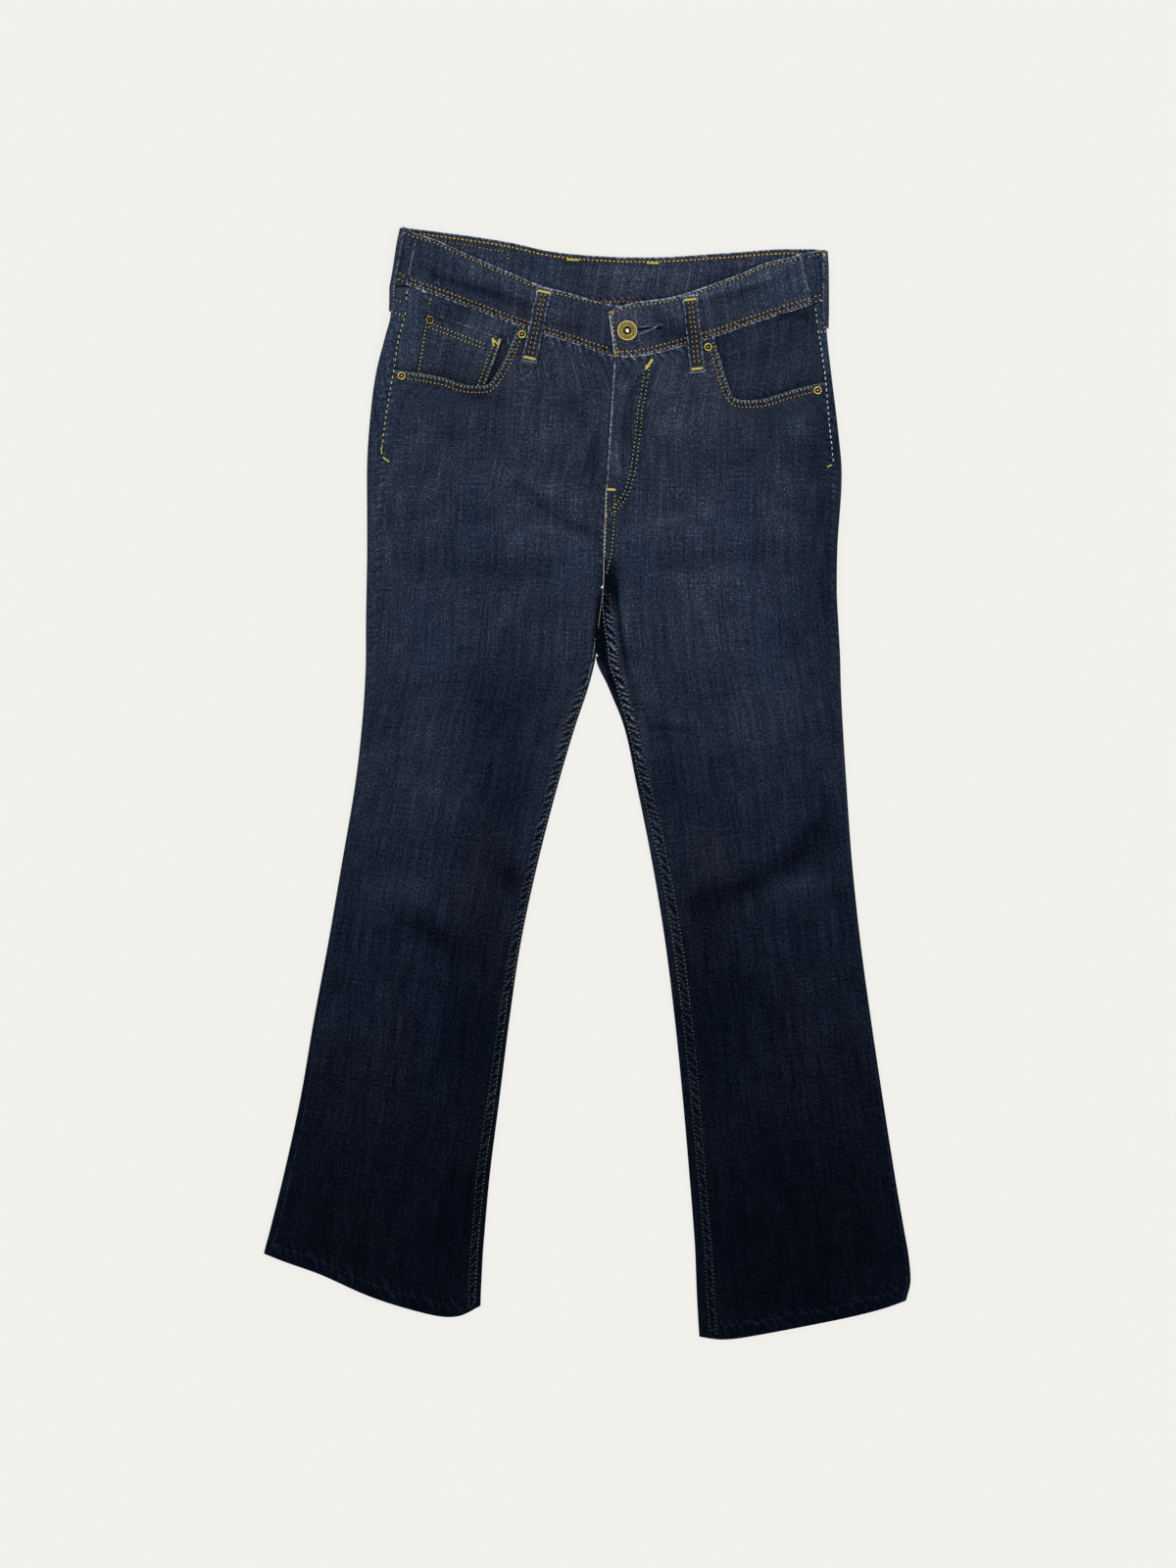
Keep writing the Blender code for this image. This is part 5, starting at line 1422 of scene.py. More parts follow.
def make_back_pocket(name, place):
    *at, turn = place
    across, down = np.linspace(-1, 1, 46)[None, :], unit(44).T
    foot = -POCKET_SIDE - (POCKET_POINT - POCKET_SIDE) * (1 - np.abs(across))
    half_width = (POCKET_WIDTH + (POCKET_FOOT_WIDTH - POCKET_WIDTH) * down * -foot / POCKET_SIDE) / 2
    half_width = np.maximum(half_width, POCKET_FOOT_WIDTH / 2)
    points = stacked(*rotated((half_width * across, foot * down), at, turn), 0.0)
    paths = (points[:, 0, :2], points[:, -1, :2], points[-1, :, :2])
    seams = [(path, 5.0, 0.5, 6.4, 0.7, True) for path in paths]
    cloth(name, points, WALL, True, sides=dict.fromkeys(GRID_SIDES, 0.6), seams=seams)


for half_name in ("right", "left"):
    make_front_panel(half_name)
    make_back_panel(half_name)
    make_facing(half_name)
    make_yoke(half_name)
    make_front_band(half_name)
make_coin_pocket()
make_back_band()
for loop_name, loop_ends in FRONT_LOOPS.items():
    make_front_loop(loop_name, loop_ends)
for loop_name, loop_top in BACK_LOOPS.items():
    make_back_loop(loop_name, loop_top)
for loop_name, loop_half in SIDE_LOOPS.items():
    make_side_loop(loop_name, loop_half)
for pocket_name, pocket_place in BACK_POCKETS.items():
    make_back_pocket(pocket_name, pocket_place)


# Sewing

# Each row's pitch and length of stitch
PLAIN_RUN = (4.05, 2.4)
FINE_RUN = (3.6, 2.0)
FLY_RUN = (3.85, 1.75)
DOT_RUN = (3.7, 1.75)
LOOP_RUN = (4.6, 2.8)
LONG_RUN = (5.5, 3.4)
SMALL_RUN = (2.0, 1.5)
TOP_RUN = (4.0, 2.9)
THREAD_RADIUS = 0.4
THIN_RADIUS = 0.24
# The discs of painted shade in the rows' gaps: their radius and lift over the cloth
GAP_SHADE_RADIUS = 0.82
GAP_SHADE_LIFT = 0.05
SKY = 60.0
# A stitch's rings: place along it, share of the radius, and lift in radii
STITCH_RINGS = ((-1.0, 0.5, -0.75), (-0.62, 1.0, 0.15), (0.62, 1.0, 0.15), (1.0, 0.5, -0.75))
RING_SIDES = 6
RING_TURNS = np.arange(RING_SIDES) * 2 * np.pi / RING_SIDES
STITCH_FLATNESS = 0.85
# How each stitch and thread differs from the next
STITCH_SHARES = (0.92, 1.06)
STITCH_SWAY = 0.06
STITCH_TONES = (0.72, 1.18)
STITCH_CLIMB = 2.0
STRAGGLE_STEP = 1.6
TACK_SHIFT = (-0.1, 0.1)
TACK_REACHES = (0.85, 1.15)
TACK_LEANS = (0.3, 1.1)
TACK_PITCH = 1.5
FRAY_SWAY = 0.4
FRAY_LENGTHS = (0.3, 1.0)
TREES = {}
SEWN = {colour: [] for colour in THREADS}
# Each disc of painted shade in a row's gap: its place and normal
GAP_SHADES = []


def tree_of(node):
    if node not in TREES:
        mesh = PIECES[node].data
        vertices = [vertex.co.copy() for vertex in mesh.vertices]
        TREES[node] = BVHTree.FromPolygons(vertices, [tuple(face.vertices) for face in mesh.polygons])
    return TREES[node]


def landed(node, place, below=False):
    """The point of a piece's outer face over or under a place, and its normal, or None beside the piece."""
    start = Vector((place[0] * MM, place[1] * MM, (-SKY if below else SKY) * MM))
    point, normal, _, _ = tree_of(node).ray_cast(start, Vector((0, 0, 1 if below else -1)))
    if point is None:
        return None
    return point / MM, normal


def lay(node, start, end, colour, radius=THREAD_RADIUS, below=False):
    """One stitch on a piece's face, unless it would lead off the piece or up a step."""
    first, last = landed(node, start, below), landed(node, end, below)
    if first is None or last is None or abs(first[0].z - last[0].z) > STITCH_CLIMB:
        return
    normal = (first[1] + last[1]).normalized()
    SEWN[colour].append((*first[0], *last[0], *normal, radius, RANDOM.uniform(*STITCH_TONES)))


def shade_gap(node, place, below):
    """A dark spot of painted shade in the gap between two stitches, where the thread dips into the cloth."""
    gap_spot = landed(node, place, below)
    if gap_spot:
        GAP_SHADES.append((*gap_spot[0], *gap_spot[1]))


def sew(node, places, colour, run=PLAIN_RUN, radius=THREAD_RADIUS, below=False):
    """A row of stitches along a path."""
    pitch, length = run
    points = resampled(places, pitch)
    for start, after in zip(points, points[1:]):
        share = length / pitch * RANDOM.uniform(*STITCH_SHARES)
        sway = RANDOM.normal(0, STITCH_SWAY, 2)
        lay(node, start + sway, start + (after - start) * share + sway, colour, radius, below)
        shade_gap(node, start + (after - start) * (share + 1) / 2 + sway, below)


def straggle(node, places, colour, radius=0.13, sway=0.35, left_out=0.3):
    """A single loose thread that wanders along a path."""
    points = resampled(places, STRAGGLE_STEP)
    points = points + RANDOM.normal(0, sway, points.shape)
    for start, end in zip(points, points[1:]):
        if RANDOM.uniform() > left_out:
            lay(node, start, end, colour, radius)


def tack(node, start, end, width, colour="tack", below=False, radius=0.3):
    """A bartack: threads side by side across a short line."""
    start, end, along, side = course(start, end)
    for step in np.arange(0, np.linalg.norm(end - start), radius * TACK_PITCH):
        middle = start + along * (step + RANDOM.uniform(*TACK_SHIFT))
        reach = width / 2 * RANDOM.uniform(*TACK_REACHES)
        lean = along * radius * RANDOM.uniform(*TACK_LEANS)
        lay(node, middle - side * reach - lean, middle + side * reach + lean, colour, radius, below)


def fray(node, start, end, count, reach, colour="pale", radius=0.16):
    """Loose fibres scattered along a line."""
    start, end = np.array(start, float), np.array(end, float)
    for _ in range(count):
        middle = start + (end - start) * RANDOM.uniform(0, 1) + RANDOM.normal(0, FRAY_SWAY, 2)
        turn = RANDOM.uniform(0, np.pi)
        length = reach * RANDOM.uniform(*FRAY_LENGTHS)
        half_run = length / 2 * np.array((math.cos(turn), math.sin(turn)))
        lay(node, middle - half_run, middle + half_run, colour, radius)


# The ends of each half's row along the waistband's edge, and of its rows along its seam
BAND_ROW_ENDS = {"right": ((-172, 18), (-170, 24)), "left": ((24, 200), (28, 211))}
EDGE_ROW_DROP = 3.4
BAND_ROW_RISES = (7.2, 3)
# The rows of the back length, inside and behind: both ends, and how far over its edge or seam
BACK_EDGE_ROW = (-158, 204, -4)
INSIDE_SEAM_ROW = (-60, 120, 4)
BACK_SEAM_ROW_ENDS = (-176, 216)
# Short rows inside it: the path and the thread's radius
INSIDE_ROWS = (([(-141, 509.8), (-74, 498.6)], 0.28), ([(-74, 497.2), (-75, 483.5)], THIN_RADIUS))
SIDE_BAND_ROWS = (
    ((-180.2, 481), (-167, 473.2)), ((-181.4, 475), (-167, 467.4)), ((-172, 516.8), (-160.6, 511.2)),
    ((223.6, 459.1), (208, 455.2)), ((223.6, 454.9), (208, 449.6)), ((221.6, 497.2), (202, 492.6)),
)
LAP_END_ROW = [(23.6, 441), (24.6, 425), (28.4, 404.5), (24.4, 399.6)]
LAP_END_LOOP = [(31.4, 404.6), (25.6, 402.4), (31, 397.6)]
# The lapped end's rows at the seam sag: how far, where from that end, and their reach
LAP_ROW_SAG = (2.0, 8, 24)
LAP_TACK = ((20.8, 443), (23.4, 441.2))
JOIN_THREAD_INSET = 1.2
# The tacks of the back loops inside the waistband: where, how far under its edge, and half their width
INSIDE_TACKS_X = (-13, 62)
INSIDE_TACK_DROP = 5.4
INSIDE_TACK = 5.5


def sew_waistband():
    sag, shift, reach = LAP_ROW_SAG
    for half, (edge_ends, seam_ends) in BAND_ROW_ENDS.items():
        node = "waistband_" + half
        sew(node, graph_of(FRONT_EDGE_Y[half], *edge_ends, -EDGE_ROW_DROP), "orange")
        for rise in BAND_ROW_RISES:
            row = graph_of(FRONT_SEAM_Y, *seam_ends, rise)
            if half == "left":
                row[:, 1] -= sag * np.exp(-(((row[:, 0] - LAP_END_X - shift) / reach) ** 2))
            sew(node, row, "orange")
        inset = np.array((TOWARD_INNER[half] * JOIN_THREAD_INSET, 0))
        straggle(node, np.array(BAND_JOIN[half]) + inset, "white")
    back = "waistband_back"
    for row in SIDE_BAND_ROWS:
        sew(back, row, "orange")
    sew("waistband_left", LAP_END_ROW, "orange")
    sew("waistband_left", LAP_END_LOOP, "orange", SMALL_RUN)
    tack("waistband_left", *LAP_TACK, 2.2, "orange")
    sew(back, graph_of(BACK_EDGE_Y, *BACK_EDGE_ROW), "orange", TOP_RUN, 0.6)
    sew(back, graph_of(BACK_SEAM_Y, *INSIDE_SEAM_ROW), "orange")
    for row, radius in INSIDE_ROWS:
        sew(back, row, "orange", FINE_RUN, radius)
    sew(back, graph_of(BACK_EDGE_Y, *BACK_EDGE_ROW), "orange", below=True)
    for rise in BAND_ROW_RISES:
        sew(back, graph_of(BACK_SEAM_Y, *BACK_SEAM_ROW_ENDS, rise), "orange", below=True)
    for x in INSIDE_TACKS_X:
        y = float(BACK_EDGE_Y(x)) - INSIDE_TACK_DROP
        tack(back, (x - INSIDE_TACK, y + 0.4), (x + INSIDE_TACK, y), 2)


# The rows beside a scoop: how far in, and their colour
SCOOP_ROWS = ((2.2, "yellow"), (6.6, "orange"))
FLY_RADIUS = 0.37
# Bartacks at the fly: both ends, width and colour
FLY_TACKS = (
    ((55.4, 389), (61.5, 397.8), 3, "tack"), ((17, 276), (26.6, 275.2), 2.2, "tack"),
    ((16.5, 249.8), (18.5, 251), 2, "yellow"),
)
SEAT_ROWS = ([(18.6, 272), (17.6, 240), (16.6, 208)], [(26, 270), (25, 238), (23, 216), (17, 192)])
SEAT_RADIUS = 0.34
FLY_WEAR_INSET = 0.9
FLY_WEAR_LEVELS = (389, 277)


def sew_front():
    for half in ("right", "left"):
        for inset, colour in SCOOP_ROWS:
            sew("front_" + half, scoop_row(half, inset), colour, FINE_RUN)
    for offset in (0.0, -ROW_GAP):
        sew("front_left", fly_row(offset), "yellow", FLY_RUN, FLY_RADIUS)
    for start, end, width, colour in FLY_TACKS:
        tack("front_left", start, end, width, colour)
    for row in SEAT_ROWS:
        sew("front_left", row, "yellow", FINE_RUN, SEAT_RADIUS)
    fold = np.linspace(*FLY_WEAR_LEVELS, 60)
    fold_line = stacked(EDGE["left_inner"](fold) + FLY_WEAR_INSET, fold)
    straggle("front_left", fold_line, "pale", 0.15, 0.14)
    straggle("front_left", [(88, 450), (90.5, 441), (89, 431)], "white")


# The tacks at the coin pocket's inner corner, from that corner: both ends and width
COIN_TACKS = (
    ((-5.2, -1), (-4.4, -8.5), 2.2), ((-4.6, -2), (0.8, -7.5), 1.8), ((0.6, -2.2), (0.9, -8.8), 1.8),
)
COIN_ROW_INSETS = (2.4, 7)
COIN_ROW_DROPS = (10.5, 14.5)


def sew_coin_pocket():
    top_outer, top_inner, foot_inner, foot_outer = (np.array(corner, float) for corner in COIN_POCKET)
    across = course(top_outer, top_inner)[2]
    inner_down = course(top_inner, foot_inner)[2]
    outer_down = course(top_outer, foot_outer)[2]
    rows = [[top_outer + across * 1.8, foot_outer + across * 1.8]]
    for inset in COIN_ROW_INSETS:
        rows.append([top_inner - across * inset + (0, -4), foot_inner - across * inset])
    for drop in COIN_ROW_DROPS:
        start = top_outer + across * 4.0 + outer_down * drop
        rows.append([start, top_inner - across * 8.5 + inner_down * drop])
    for row in rows:
        sew("coin_pocket", row, "yellow", FINE_RUN)
    sew("facing_right", [(-146.5, 454.5), (-149, 445.5)], "yellow", FINE_RUN)
    straggle("facing_right", [(-75, 418), (-73, 410)], "white")
    fray("coin_pocket", top_outer + across * 1.0, top_inner, 90, 2.4)
    corner = top_inner - across * 3.5
    for start, end, width in COIN_TACKS:
        tack("coin_pocket", corner + start, corner + end, width)


SIDE_TACK_INSET = 1.6
# Half the spread of a loop's two rows and of its tacks, and how far in from its head and foot they are
LOOP_ROW = 1.9
LOOP_ROW_INSETS = (6, 5.5)
LOOP_TACK = 5.4
LOOP_TACK_INSETS = (4.4, 4.0)
LOOP_TACK_WIDTH = 2.4
# Loose fibres on a loop's sides and ends: how many, and their length, and how far the ends' ones spread
LOOP_SIDE_FRAY = (24, 2.2)
LOOP_END_FRAY = (26, 2.8)
LOOP_END_REACH = 6.5


def sew_loops():
    for name, ends in FRONT_LOOPS.items():
        start, end, along, side = course(*ends)
        head, foot = LOOP_ROW_INSETS
        for offset in (-LOOP_ROW, LOOP_ROW):
            row = [start + along * head + side * offset, end - along * foot + side * offset]
            sew(name, row, "orange", LOOP_RUN, 0.3)
        head, foot = LOOP_TACK_INSETS
        for middle in (start + along * head, end - along * foot):
            tack(name, middle - side * LOOP_TACK, middle + side * LOOP_TACK, LOOP_TACK_WIDTH)
        for offset in (-1, 1):
            edge = side * (LOOP_WIDTH / 2 - 0.5) * offset
            fray(name, start + edge, end + edge, *LOOP_SIDE_FRAY)
        for middle in (start + along * 1.2, end - along * 1.0):
            fray(name, middle - side * LOOP_END_REACH, middle + side * LOOP_END_REACH, *LOOP_END_FRAY)
    for name, (middle, top) in BACK_LOOPS.items():
        for x in (middle - LOOP_ROW, middle + LOOP_ROW):
            sew(name, [(x, top - 5), (x, top - LOOP_LENGTH + 5)], "orange", LOOP_RUN, below=True)
        for y in (top - 4, top - LOOP_LENGTH + 4):
            tack(name, (middle - LOOP_TACK, y), (middle + LOOP_TACK, y), LOOP_TACK_WIDTH, below=True)
    for name, half in SIDE_LOOPS.items():
        edge = BAND_FOLD[half][0]
        x = edge[0] + TOWARD_INNER[half] * SIDE_TACK_INSET
        tack(name, (x, edge[1] - 3), (x, edge[1] - 6), 3.0)
        row = [(x, edge[1] - 8), (x - 0.3, edge[1] - 30)]
        sew(name, row, "white" if half == "right" else "dim", radius=0.2)


OUTSEAM_RADIUS = {"right": 0.37, "left": 0.43}
OUTSEAM_THREADS = {"right": "cream", "left": "white"}
OUTSEAM_LINE_INSET = 0.7
# Bartacks where the outseams' rows end: the piece, both ends and width
SIDE_TACKS = (
    ("back_right", (-193, 314.5), (-193.6, 305.5), 1.6), ("front_right", (-191.4, 305.6), (-186, 301.6), 1.6),
    ("back_left", (230.2, 302.6), (230.6, 298.6), 1.8), ("front_left", (225.6, 296.8), (229.6, 298.6), 1.6),
)
YOKE_ROWS = {
    "right": (("orange", (-183.4, 454.2), (-170, 450.6)), ("yellow", (-183.8, 442.8), (-170.4, 437.2))),
    "left": (("orange", (224.2, 432.6), (213.4, 430.4)), ("yellow", (224.4, 424), (213.6, 421.8))),
}


def sew_seams():
    for half in ("right", "left"):
        levels = np.linspace(YOKE_SEAM_Y[half] - 2, OUTSEAM_END_Y[half], 60)
        seam = section_path(half, levels, lambda s: s.outseam - 0.5)
        sew("back_" + half, seam, OUTSEAM_THREADS[half], LONG_RUN, OUTSEAM_RADIUS[half])
        levels = np.linspace(462, YOKE_SEAM_Y[half] + 2, 20)
        sew("yoke_" + half, section_path(half, levels, lambda s: s.outseam - 0.6), "cream", LONG_RUN)
    for node, start, end, width in SIDE_TACKS:
        tack(node, start, end, width, radius=0.28)
    for half in ("right", "left"):
        for colour, start, finish in YOKE_ROWS[half]:
            piece = ("yoke_" if start[1] > YOKE_SEAM_Y[half] else "back_") + half
            sew(piece, [start, finish], colour, FINE_RUN, 0.45)
        sew("front_" + half, hem_row(half), "navy")
        sew("back_" + half, hem_row(half), "navy", below=True)


def inseam_row_out(sections):
    return sections.width - np.maximum(sections.inseam - INSEAM_ROW_OUT(sections.outer_y), 0.9)


def inseam_row_in(sections):
    return sections.width - sections.inseam - INSEAM_ROW_IN(sections.outer_y)


# The rows beside the inseams: the piece, both ends down the leg, the steps, the row's distance from the
# outer side for a positive value, else from the inner one, the thread and its radius
INSEAM_ROWS = (
    ("back_right", 94, -165, 120, lambda s: 0 * s.width - 2.2, "dim", 0.28),
    ("front_right", -165, -439, 140, lambda s: s.width - s.inseam - 0.9, "dim", THIN_RADIUS),
    ("front_right", 94, -439, 260, lambda s: s.width - INSEAM_ROW_REACH(s.outer_y), "faint", THIN_RADIUS),
    ("back_left", 178, 60, 130, inseam_row_out, "ash", 0.3),
    ("back_left", 60, -190, 130, inseam_row_out, "dim", 0.3),
    ("back_left", -190, -483, 130, inseam_row_out, "faint", 0.26),
    ("front_left", 178, -190, 160, inseam_row_in, "dim", THIN_RADIUS),
    ("front_left", -190, -483, 160, inseam_row_in, "faint", THIN_RADIUS),
)


def sew_inseams():
    for node, top, foot, steps, distance, colour, radius in INSEAM_ROWS:
        path = section_path(node.split("_")[1], np.linspace(top, foot, steps), distance)
        sew(node, path, colour, DOT_RUN, radius)
    fold = section_path("right", np.linspace(136, 98, 20), -2.6)
    straggle("back_right", fold, "pale", 0.3, 0.2, 0.15)
    for half in ("right", "left"):
        levels = np.linspace(OUTSEAM_END_Y[half] - 6, HEM_END_Y[half] + 3, 160)
        line = section_path(half, levels, lambda s: s.outseam - OUTSEAM_LINE_INSET)
        straggle("back_" + half, line, "indigo", 0.17, 0.1, 0.15)


# The rows behind: how far in along a pocket's sides, down from its mouth, down from the yoke's seam
# and out from the seat's seam
POCKET_ROW_INSETS = (2.2, 8.2)
POCKET_MOUTH_DROPS = (9.0, 13.0)
YOKE_ROW_DROPS = (2.2, 7.0)
SEAT_ROW_OFFSETS = (2.0, 7.0)
SEAT_ROW_LEVELS = (365, 190)


def sew_back():
    for half in ("right", "left"):
        name = "back_pocket_" + half
        *at, turn = BACK_POCKETS[name]
        rows = []
        for inset in POCKET_ROW_INSETS:
            wide, narrow = POCKET_WIDTH / 2 - inset, POCKET_FOOT_WIDTH / 2 - inset
            foot = inset * 0.8 - POCKET_SIDE
            rows.append([(-wide, -3), (-narrow, foot), (0, inset - POCKET_POINT), (narrow, foot), (wide, -3)])
        for drop in POCKET_MOUTH_DROPS:
            rows.append([(3 - POCKET_WIDTH / 2, -drop), (POCKET_WIDTH / 2 - 3, -drop)])
        for row in rows:
            sew(name, [rotated(place, at, turn) for place in row], "yellow", below=True)
        for drop in YOKE_ROW_DROPS:
            sew("back_" + half, yoke_seam(half, drop), "orange", below=True)
    seat = np.linspace(*SEAT_ROW_LEVELS, 70)
    for offset in SEAT_ROW_OFFSETS:
        sew("back_left", stacked(EDGE["left_inner"](seat) + offset, seat), "yellow", below=True)


sew_waistband()
sew_front()
sew_coin_pocket()
sew_loops()
sew_seams()
sew_inseams()
sew_back()


# The buttonhole's overcast stitches: where they start along it, their step, reach and lean, the share
# of pale ones, and how many close its end
OVERCAST_START = 9.5
OVERCAST_STEP = 0.5
OVERCAST_REACHES = (1.3, 2.1)
OVERCAST_LEANS = (-0.4, 0.4)
OVERCAST_PALE = 0.12
OVERCAST_RADIUS = 0.2
OVERCAST_END = 9
BUTTONHOLE_LIPS = ([(49.4, 421.4), (58, 424.4), (67.4, 429.6), (70.6, 430.6)], [(48.6, 428), (60, 428.6)])


def sew_buttonhole():
    """Close overcast stitches round the slit, worn pale along its lips."""
    start, end, along, side = course(BUTTON_AT, BUTTONHOLE_END)
    for step in np.arange(OVERCAST_START, np.linalg.norm(end - start) + 0.6, OVERCAST_STEP):
        for way in (-1, 1):
            near = start + along * step + side * way * (BUTTONHOLE_HALF_WIDTH + 0.5)
            reach, lean = RANDOM.uniform(*OVERCAST_REACHES), RANDOM.uniform(*OVERCAST_LEANS)
            far = near + side * way * reach + along * lean
            colour = "pale" if RANDOM.uniform() < OVERCAST_PALE else "indigo"
            lay("waistband_left", near, far, colour, OVERCAST_RADIUS)
    for turn in np.linspace(0, np.pi, OVERCAST_END):
        out = along * math.sin(turn) + side * math.cos(turn)
        lay("waistband_left", end + out * 1.3, end + out * 3.1, "indigo", OVERCAST_RADIUS)
    for lip in BUTTONHOLE_LIPS:
        for _ in range(2):
            straggle("waistband_left", lip, "pale", 0.24, left_out=0.2)
    fray("waistband_left", start + along * 11, start + along * 18, 12, 2.6)
    fray("waistband_left", start + along * 16 + side, start + along * 18 + side, 5, 1.6, "white", 0.22)


sew_buttonhole()


# Seams whose rubbed edge shows as a pale line: the piece, its path and how much of the line is missing
EDGE_LINES = (
    ("waistband_right", graph_of(FRONT_SEAM_Y, -52, 16, 0.8), 0.3),
    ("waistband_right", graph_of(FRONT_SEAM_Y, -150, -60, 0.8), 0.6),
    ("waistband_left", graph_of(FRONT_SEAM_Y, 32, 92, 0.8), 0.35),
    ("waistband_left", graph_of(FRONT_SEAM_Y, 108, 200, 0.8), 0.6),
    ("front_right", scoop_row("right", 0.7), 0.3),
    ("front_left", scoop_row("left", 0.7), 0.3),
)


def sew_edges():
    for node, path, left_out in EDGE_LINES:
        straggle(node, path, "pale", 0.23, 0.14, left_out)


sew_edges()


def make_threads(colour, stitches):
    """One mesh with all the stitches of a colour."""
    data = np.array(stitches)
    start, end, normal = data[:, 0:3], data[:, 3:6], data[:, 6:9]
    radius, tone = data[:, 9:10], data[:, 10]
    middle = (start + end) / 2
    half_run = (end - start) / 2
    along = half_run / np.linalg.norm(half_run, axis=1)[:, None]
    side = np.cross(normal, along)
    side /= np.linalg.norm(side, axis=1)[:, None]
    up = np.cross(along, side)
    rings = []
    for place, girth, lift in STITCH_RINGS:
        for turn in RING_TURNS:
            out = side * girth * math.cos(turn) + up * (girth * math.sin(turn) * STITCH_FLATNESS + lift)
            rings.append(middle + half_run * place + radius * out)
    count = len(rings)
    turns = range(RING_SIDES)
    caps = [list(turns)[::-1], list(range(count - RING_SIDES, count))]
    quads = []
    for low in range(0, count - RING_SIDES, RING_SIDES):
        for turn in turns:
            after = (turn + 1) % RING_SIDES
            quads.append((low + turn, low + after, low + RING_SIDES + after, low + RING_SIDES + turn))
    offsets = range(0, len(data) * count, count)
    faces = [[offset + corner for corner in face] for offset in offsets for face in quads + caps]
    mesh = mesh_from("threads_" + colour, np.stack(rings, axis=1), faces, THREADS[colour])
    mesh.shade_smooth()
    give(mesh, "shade", np.repeat(tone, count))
    adopt(linked(mesh.name, mesh))


def make_gap_shades():
    """Small dark discs in the gaps of the rows: painted shade where the thread dips into the cloth."""
    data = np.array(GAP_SHADES)
    place, normal = data[:, :3], data[:, 3:]
    side = np.cross(normal, (0.0, 1.0, 0.0))
    side /= np.linalg.norm(side, axis=1)[:, None]
    up = np.cross(normal, side)
    middle = place + normal * GAP_SHADE_LIFT
    corners = [middle + GAP_SHADE_RADIUS * (side * math.cos(turn) + up * math.sin(turn)) for turn in RING_TURNS]
    faces = np.arange(len(data) * RING_SIDES).reshape(-1, RING_SIDES)[:, ::-1]
    mesh = mesh_from("painted_stitch_gap_shades", np.stack(corners, axis=1), faces.tolist(), STITCH_GAP_SHADE)
    adopt(linked(mesh.name, mesh))


for colour_name, stitch_list in SEWN.items():
    if stitch_list:
        make_threads(colour_name, stitch_list)
make_gap_shades()


# Metal

TURN_STEPS = 72
BUTTON_DEPTH = 3.3
# Radius and height over the cloth, from the middle out and down, with the grime there
BUTTON_PROFILE = (
    (0, 2.75, -0.4), (1, 2.72, -0.4), (1.5, 2.45, 0.05), (1.9, 2.2, 0.75), (2.4, 1.95, 0.85),
    (3.1, 2.1, 0.95), (3.6, 2.4, 0.9), (4, 2.7, 0.72), (4.4, 2.8, 0.4), (4.9, 2.62, 0.6), (5.2, 2.55, 0.4),
    (6.2, 2.55, 0.3), (7.6, 2.55, 0.3), (8.2, 2.62, 0.35), (8.6, 2.8, 0.2), (9, 2.88, 0.2),
    (9.3, 2.65, 0.5), (9.5, 2.2, 0.75), (9.5, 1.6, 0.9), (9.2, 1.1, 1), (8.6, 0.8, 1), (2.4, 0.8, 1),
    (2.1, 0.4, 1), (2.1, -2.2, 1),
)
MARKS = 26
MARK_RING = (5.4, 8.2)
MARK_HEIGHT = 0.35
MARK_RAMP = 0.4
MARK_GRIME = 1.7
RIVET_PROFILE = (
    (0, 1.45, 0.2), (0.5, 1.4, 0.3), (0.9, 1.15, 0.6), (1.15, 0.75, 0.95), (1.6, 0.45, 1), (2.1, 0.5, 1),
    (2.4, 0.9, 0.8), (2.7, 1.3, 0.4), (3.2, 1.4, 0.25), (3.6, 1.25, 0.4), (3.9, 0.9, 0.85), (4.4, 0.05, 1),
)
RIVET_GRIME = {"rivet_coin_pocket": 0.2}


def turned(node, profile, place, lift, marked=False, extra_grime=0.0):
    """A turned piece of metal; a marked one has a ring of ribs with dark valleys."""
    steps = TURN_STEPS * (4 if marked else 1)
    turns = np.arange(steps) * 2 * np.pi / steps
    radius, height, grime = (np.array(column)[:, None] for column in zip(*profile))
    height = height + 0 * turns
    grime = grime + extra_grime + 0 * turns
    if marked:
        ring = plateau(radius, *MARK_RING, MARK_RAMP)
        rib = np.abs(np.sin(turns[None, :] * MARKS / 2)) ** 0.7
        height = height + MARK_HEIGHT * ring * rib
        grime = grime + MARK_GRIME * ring * (1 - rib)
    points = stacked(place[0] + radius * np.cos(turns), place[1] + radius * np.sin(turns), lift + height)
    index = np.arange(height.size).reshape(height.shape)
    after = np.roll(index, -1, axis=1)
    faces = stacked(index[:-1], index[1:], after[1:], after[:-1]).reshape(-1, 4)
    mesh = mesh_from(node, points, faces.tolist(), BRASS)
    give(mesh, "grime", grime)
    shape = bmesh.new()
    shape.from_mesh(mesh)
    bmesh.ops.remove_doubles(shape, verts=shape.verts, dist=0.01 * MM)
    rim = [edge for edge in shape.edges if edge.is_boundary]
    bmesh.ops.contextual_create(shape, geom=rim)
    shape.to_mesh(mesh)
    shape.free()
    mesh.shade_smooth()
    adopt(linked(node + "_turned", mesh), node)


def make_metal():
    _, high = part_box("button")
    turned("button", BUTTON_PROFILE, BUTTON_AT, high.z / MM - BUTTON_DEPTH, True)
    for name, place in RIVETS.items():
        low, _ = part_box(name)
        turned(name, RIVET_PROFILE, place, low.z / MM, extra_grime=RIVET_GRIME.get(name, 0.0))


make_metal()


# The surface, the light and the camera

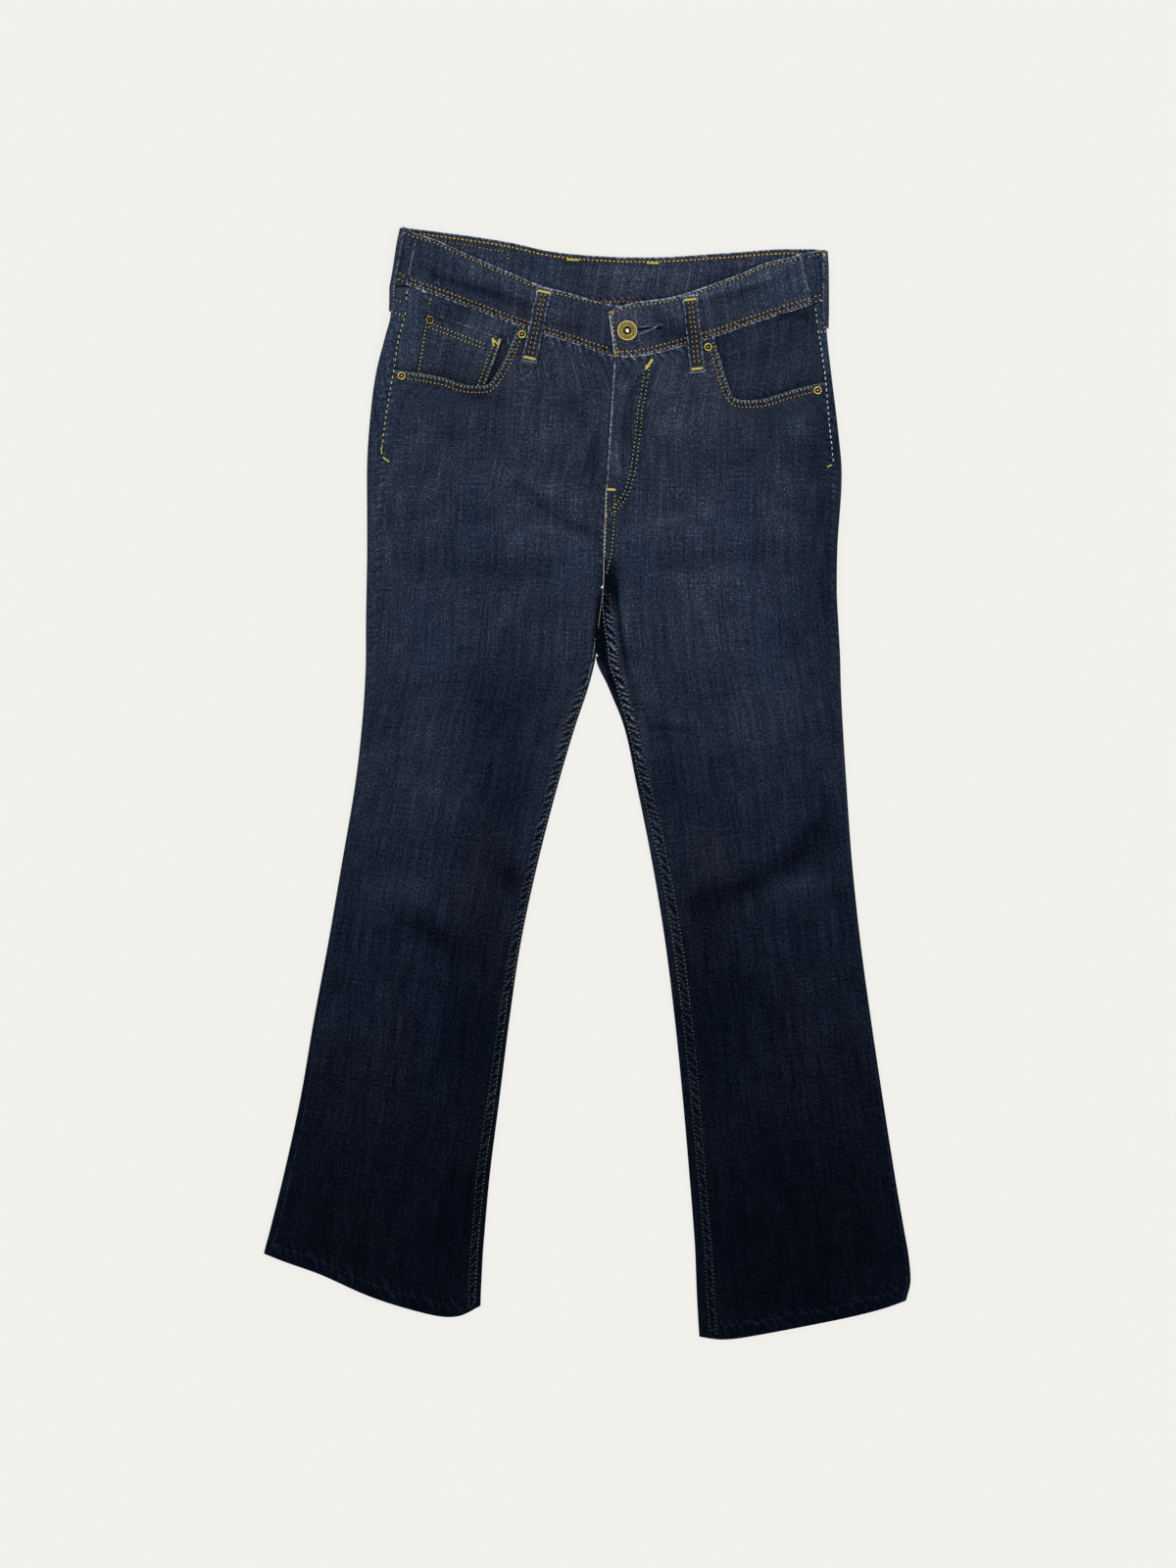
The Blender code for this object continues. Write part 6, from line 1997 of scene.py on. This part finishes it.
PAGE = (242, 241, 237)
PAGE_GLOW = 0.88
PHOTO_HEIGHT_PX = 1600
MM_PER_PX = 0.92
PHOTO_MIDDLE_PX = (600, 800)
GARMENT_MIDDLE_PX = (599, 799)
CAMERA_HEIGHT = 3.2
FACE_LEVEL = 0.006
WORLD_STRENGTH = 0.71
# The name, energy, turn, tilt and spread of each
SUNS = (("key", 0.93, 35, 42, 40), ("fill", 0.26, 200, 40, 60))
SENSOR = 36.0
FLOOR_REACH = 30.0
FLOOR_DROP = 0.4


def make_stage():
    mesh = bpy.data.meshes.new("floor")
    shape = bmesh.new()
    bmesh.ops.create_grid(shape, x_segments=1, y_segments=1, size=FLOOR_REACH)
    shape.to_mesh(mesh)
    shape.free()
    mesh.materials.append(plain_material("page", PAGE, PAGE_GLOW))
    floor = linked("floor", mesh)
    floor.location.z = -FLOOR_DROP * MM
    floor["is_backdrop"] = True


def make_light():
    world = bpy.data.worlds.new("studio")
    world.use_nodes = True
    background = world.node_tree.nodes["Background"]
    background.inputs["Color"].default_value = (1, 1, 1, 1)
    background.inputs["Strength"].default_value = WORLD_STRENGTH
    bpy.context.scene.world = world
    for name, energy, turn, tilt, spread in SUNS:
        light = bpy.data.lights.new(name, "SUN")
        light.energy = energy
        light.angle = math.radians(spread)
        linked(name, light).rotation_euler = (math.radians(tilt), 0, math.radians(turn))


def make_camera():
    camera = bpy.data.cameras.new("camera")
    camera.sensor_width = SENSOR
    camera.lens = SENSOR * (CAMERA_HEIGHT - FACE_LEVEL) / (PHOTO_HEIGHT_PX * MM_PER_PX * MM)
    holder = linked("camera", camera)
    x = (PHOTO_MIDDLE_PX[0] - GARMENT_MIDDLE_PX[0]) * MM_PER_PX * MM
    y = (GARMENT_MIDDLE_PX[1] - PHOTO_MIDDLE_PX[1]) * MM_PER_PX * MM
    holder.location = (x, y, CAMERA_HEIGHT)
    bpy.context.scene.camera = holder


make_stage()
make_light()
make_camera()
bpy.context.scene.view_settings.view_transform = "Standard"

boxes = {"cad": CAD_BOX, "visual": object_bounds()}
{name: [list(map(float, corner)) for corner in box] for name, box in boxes.items()}
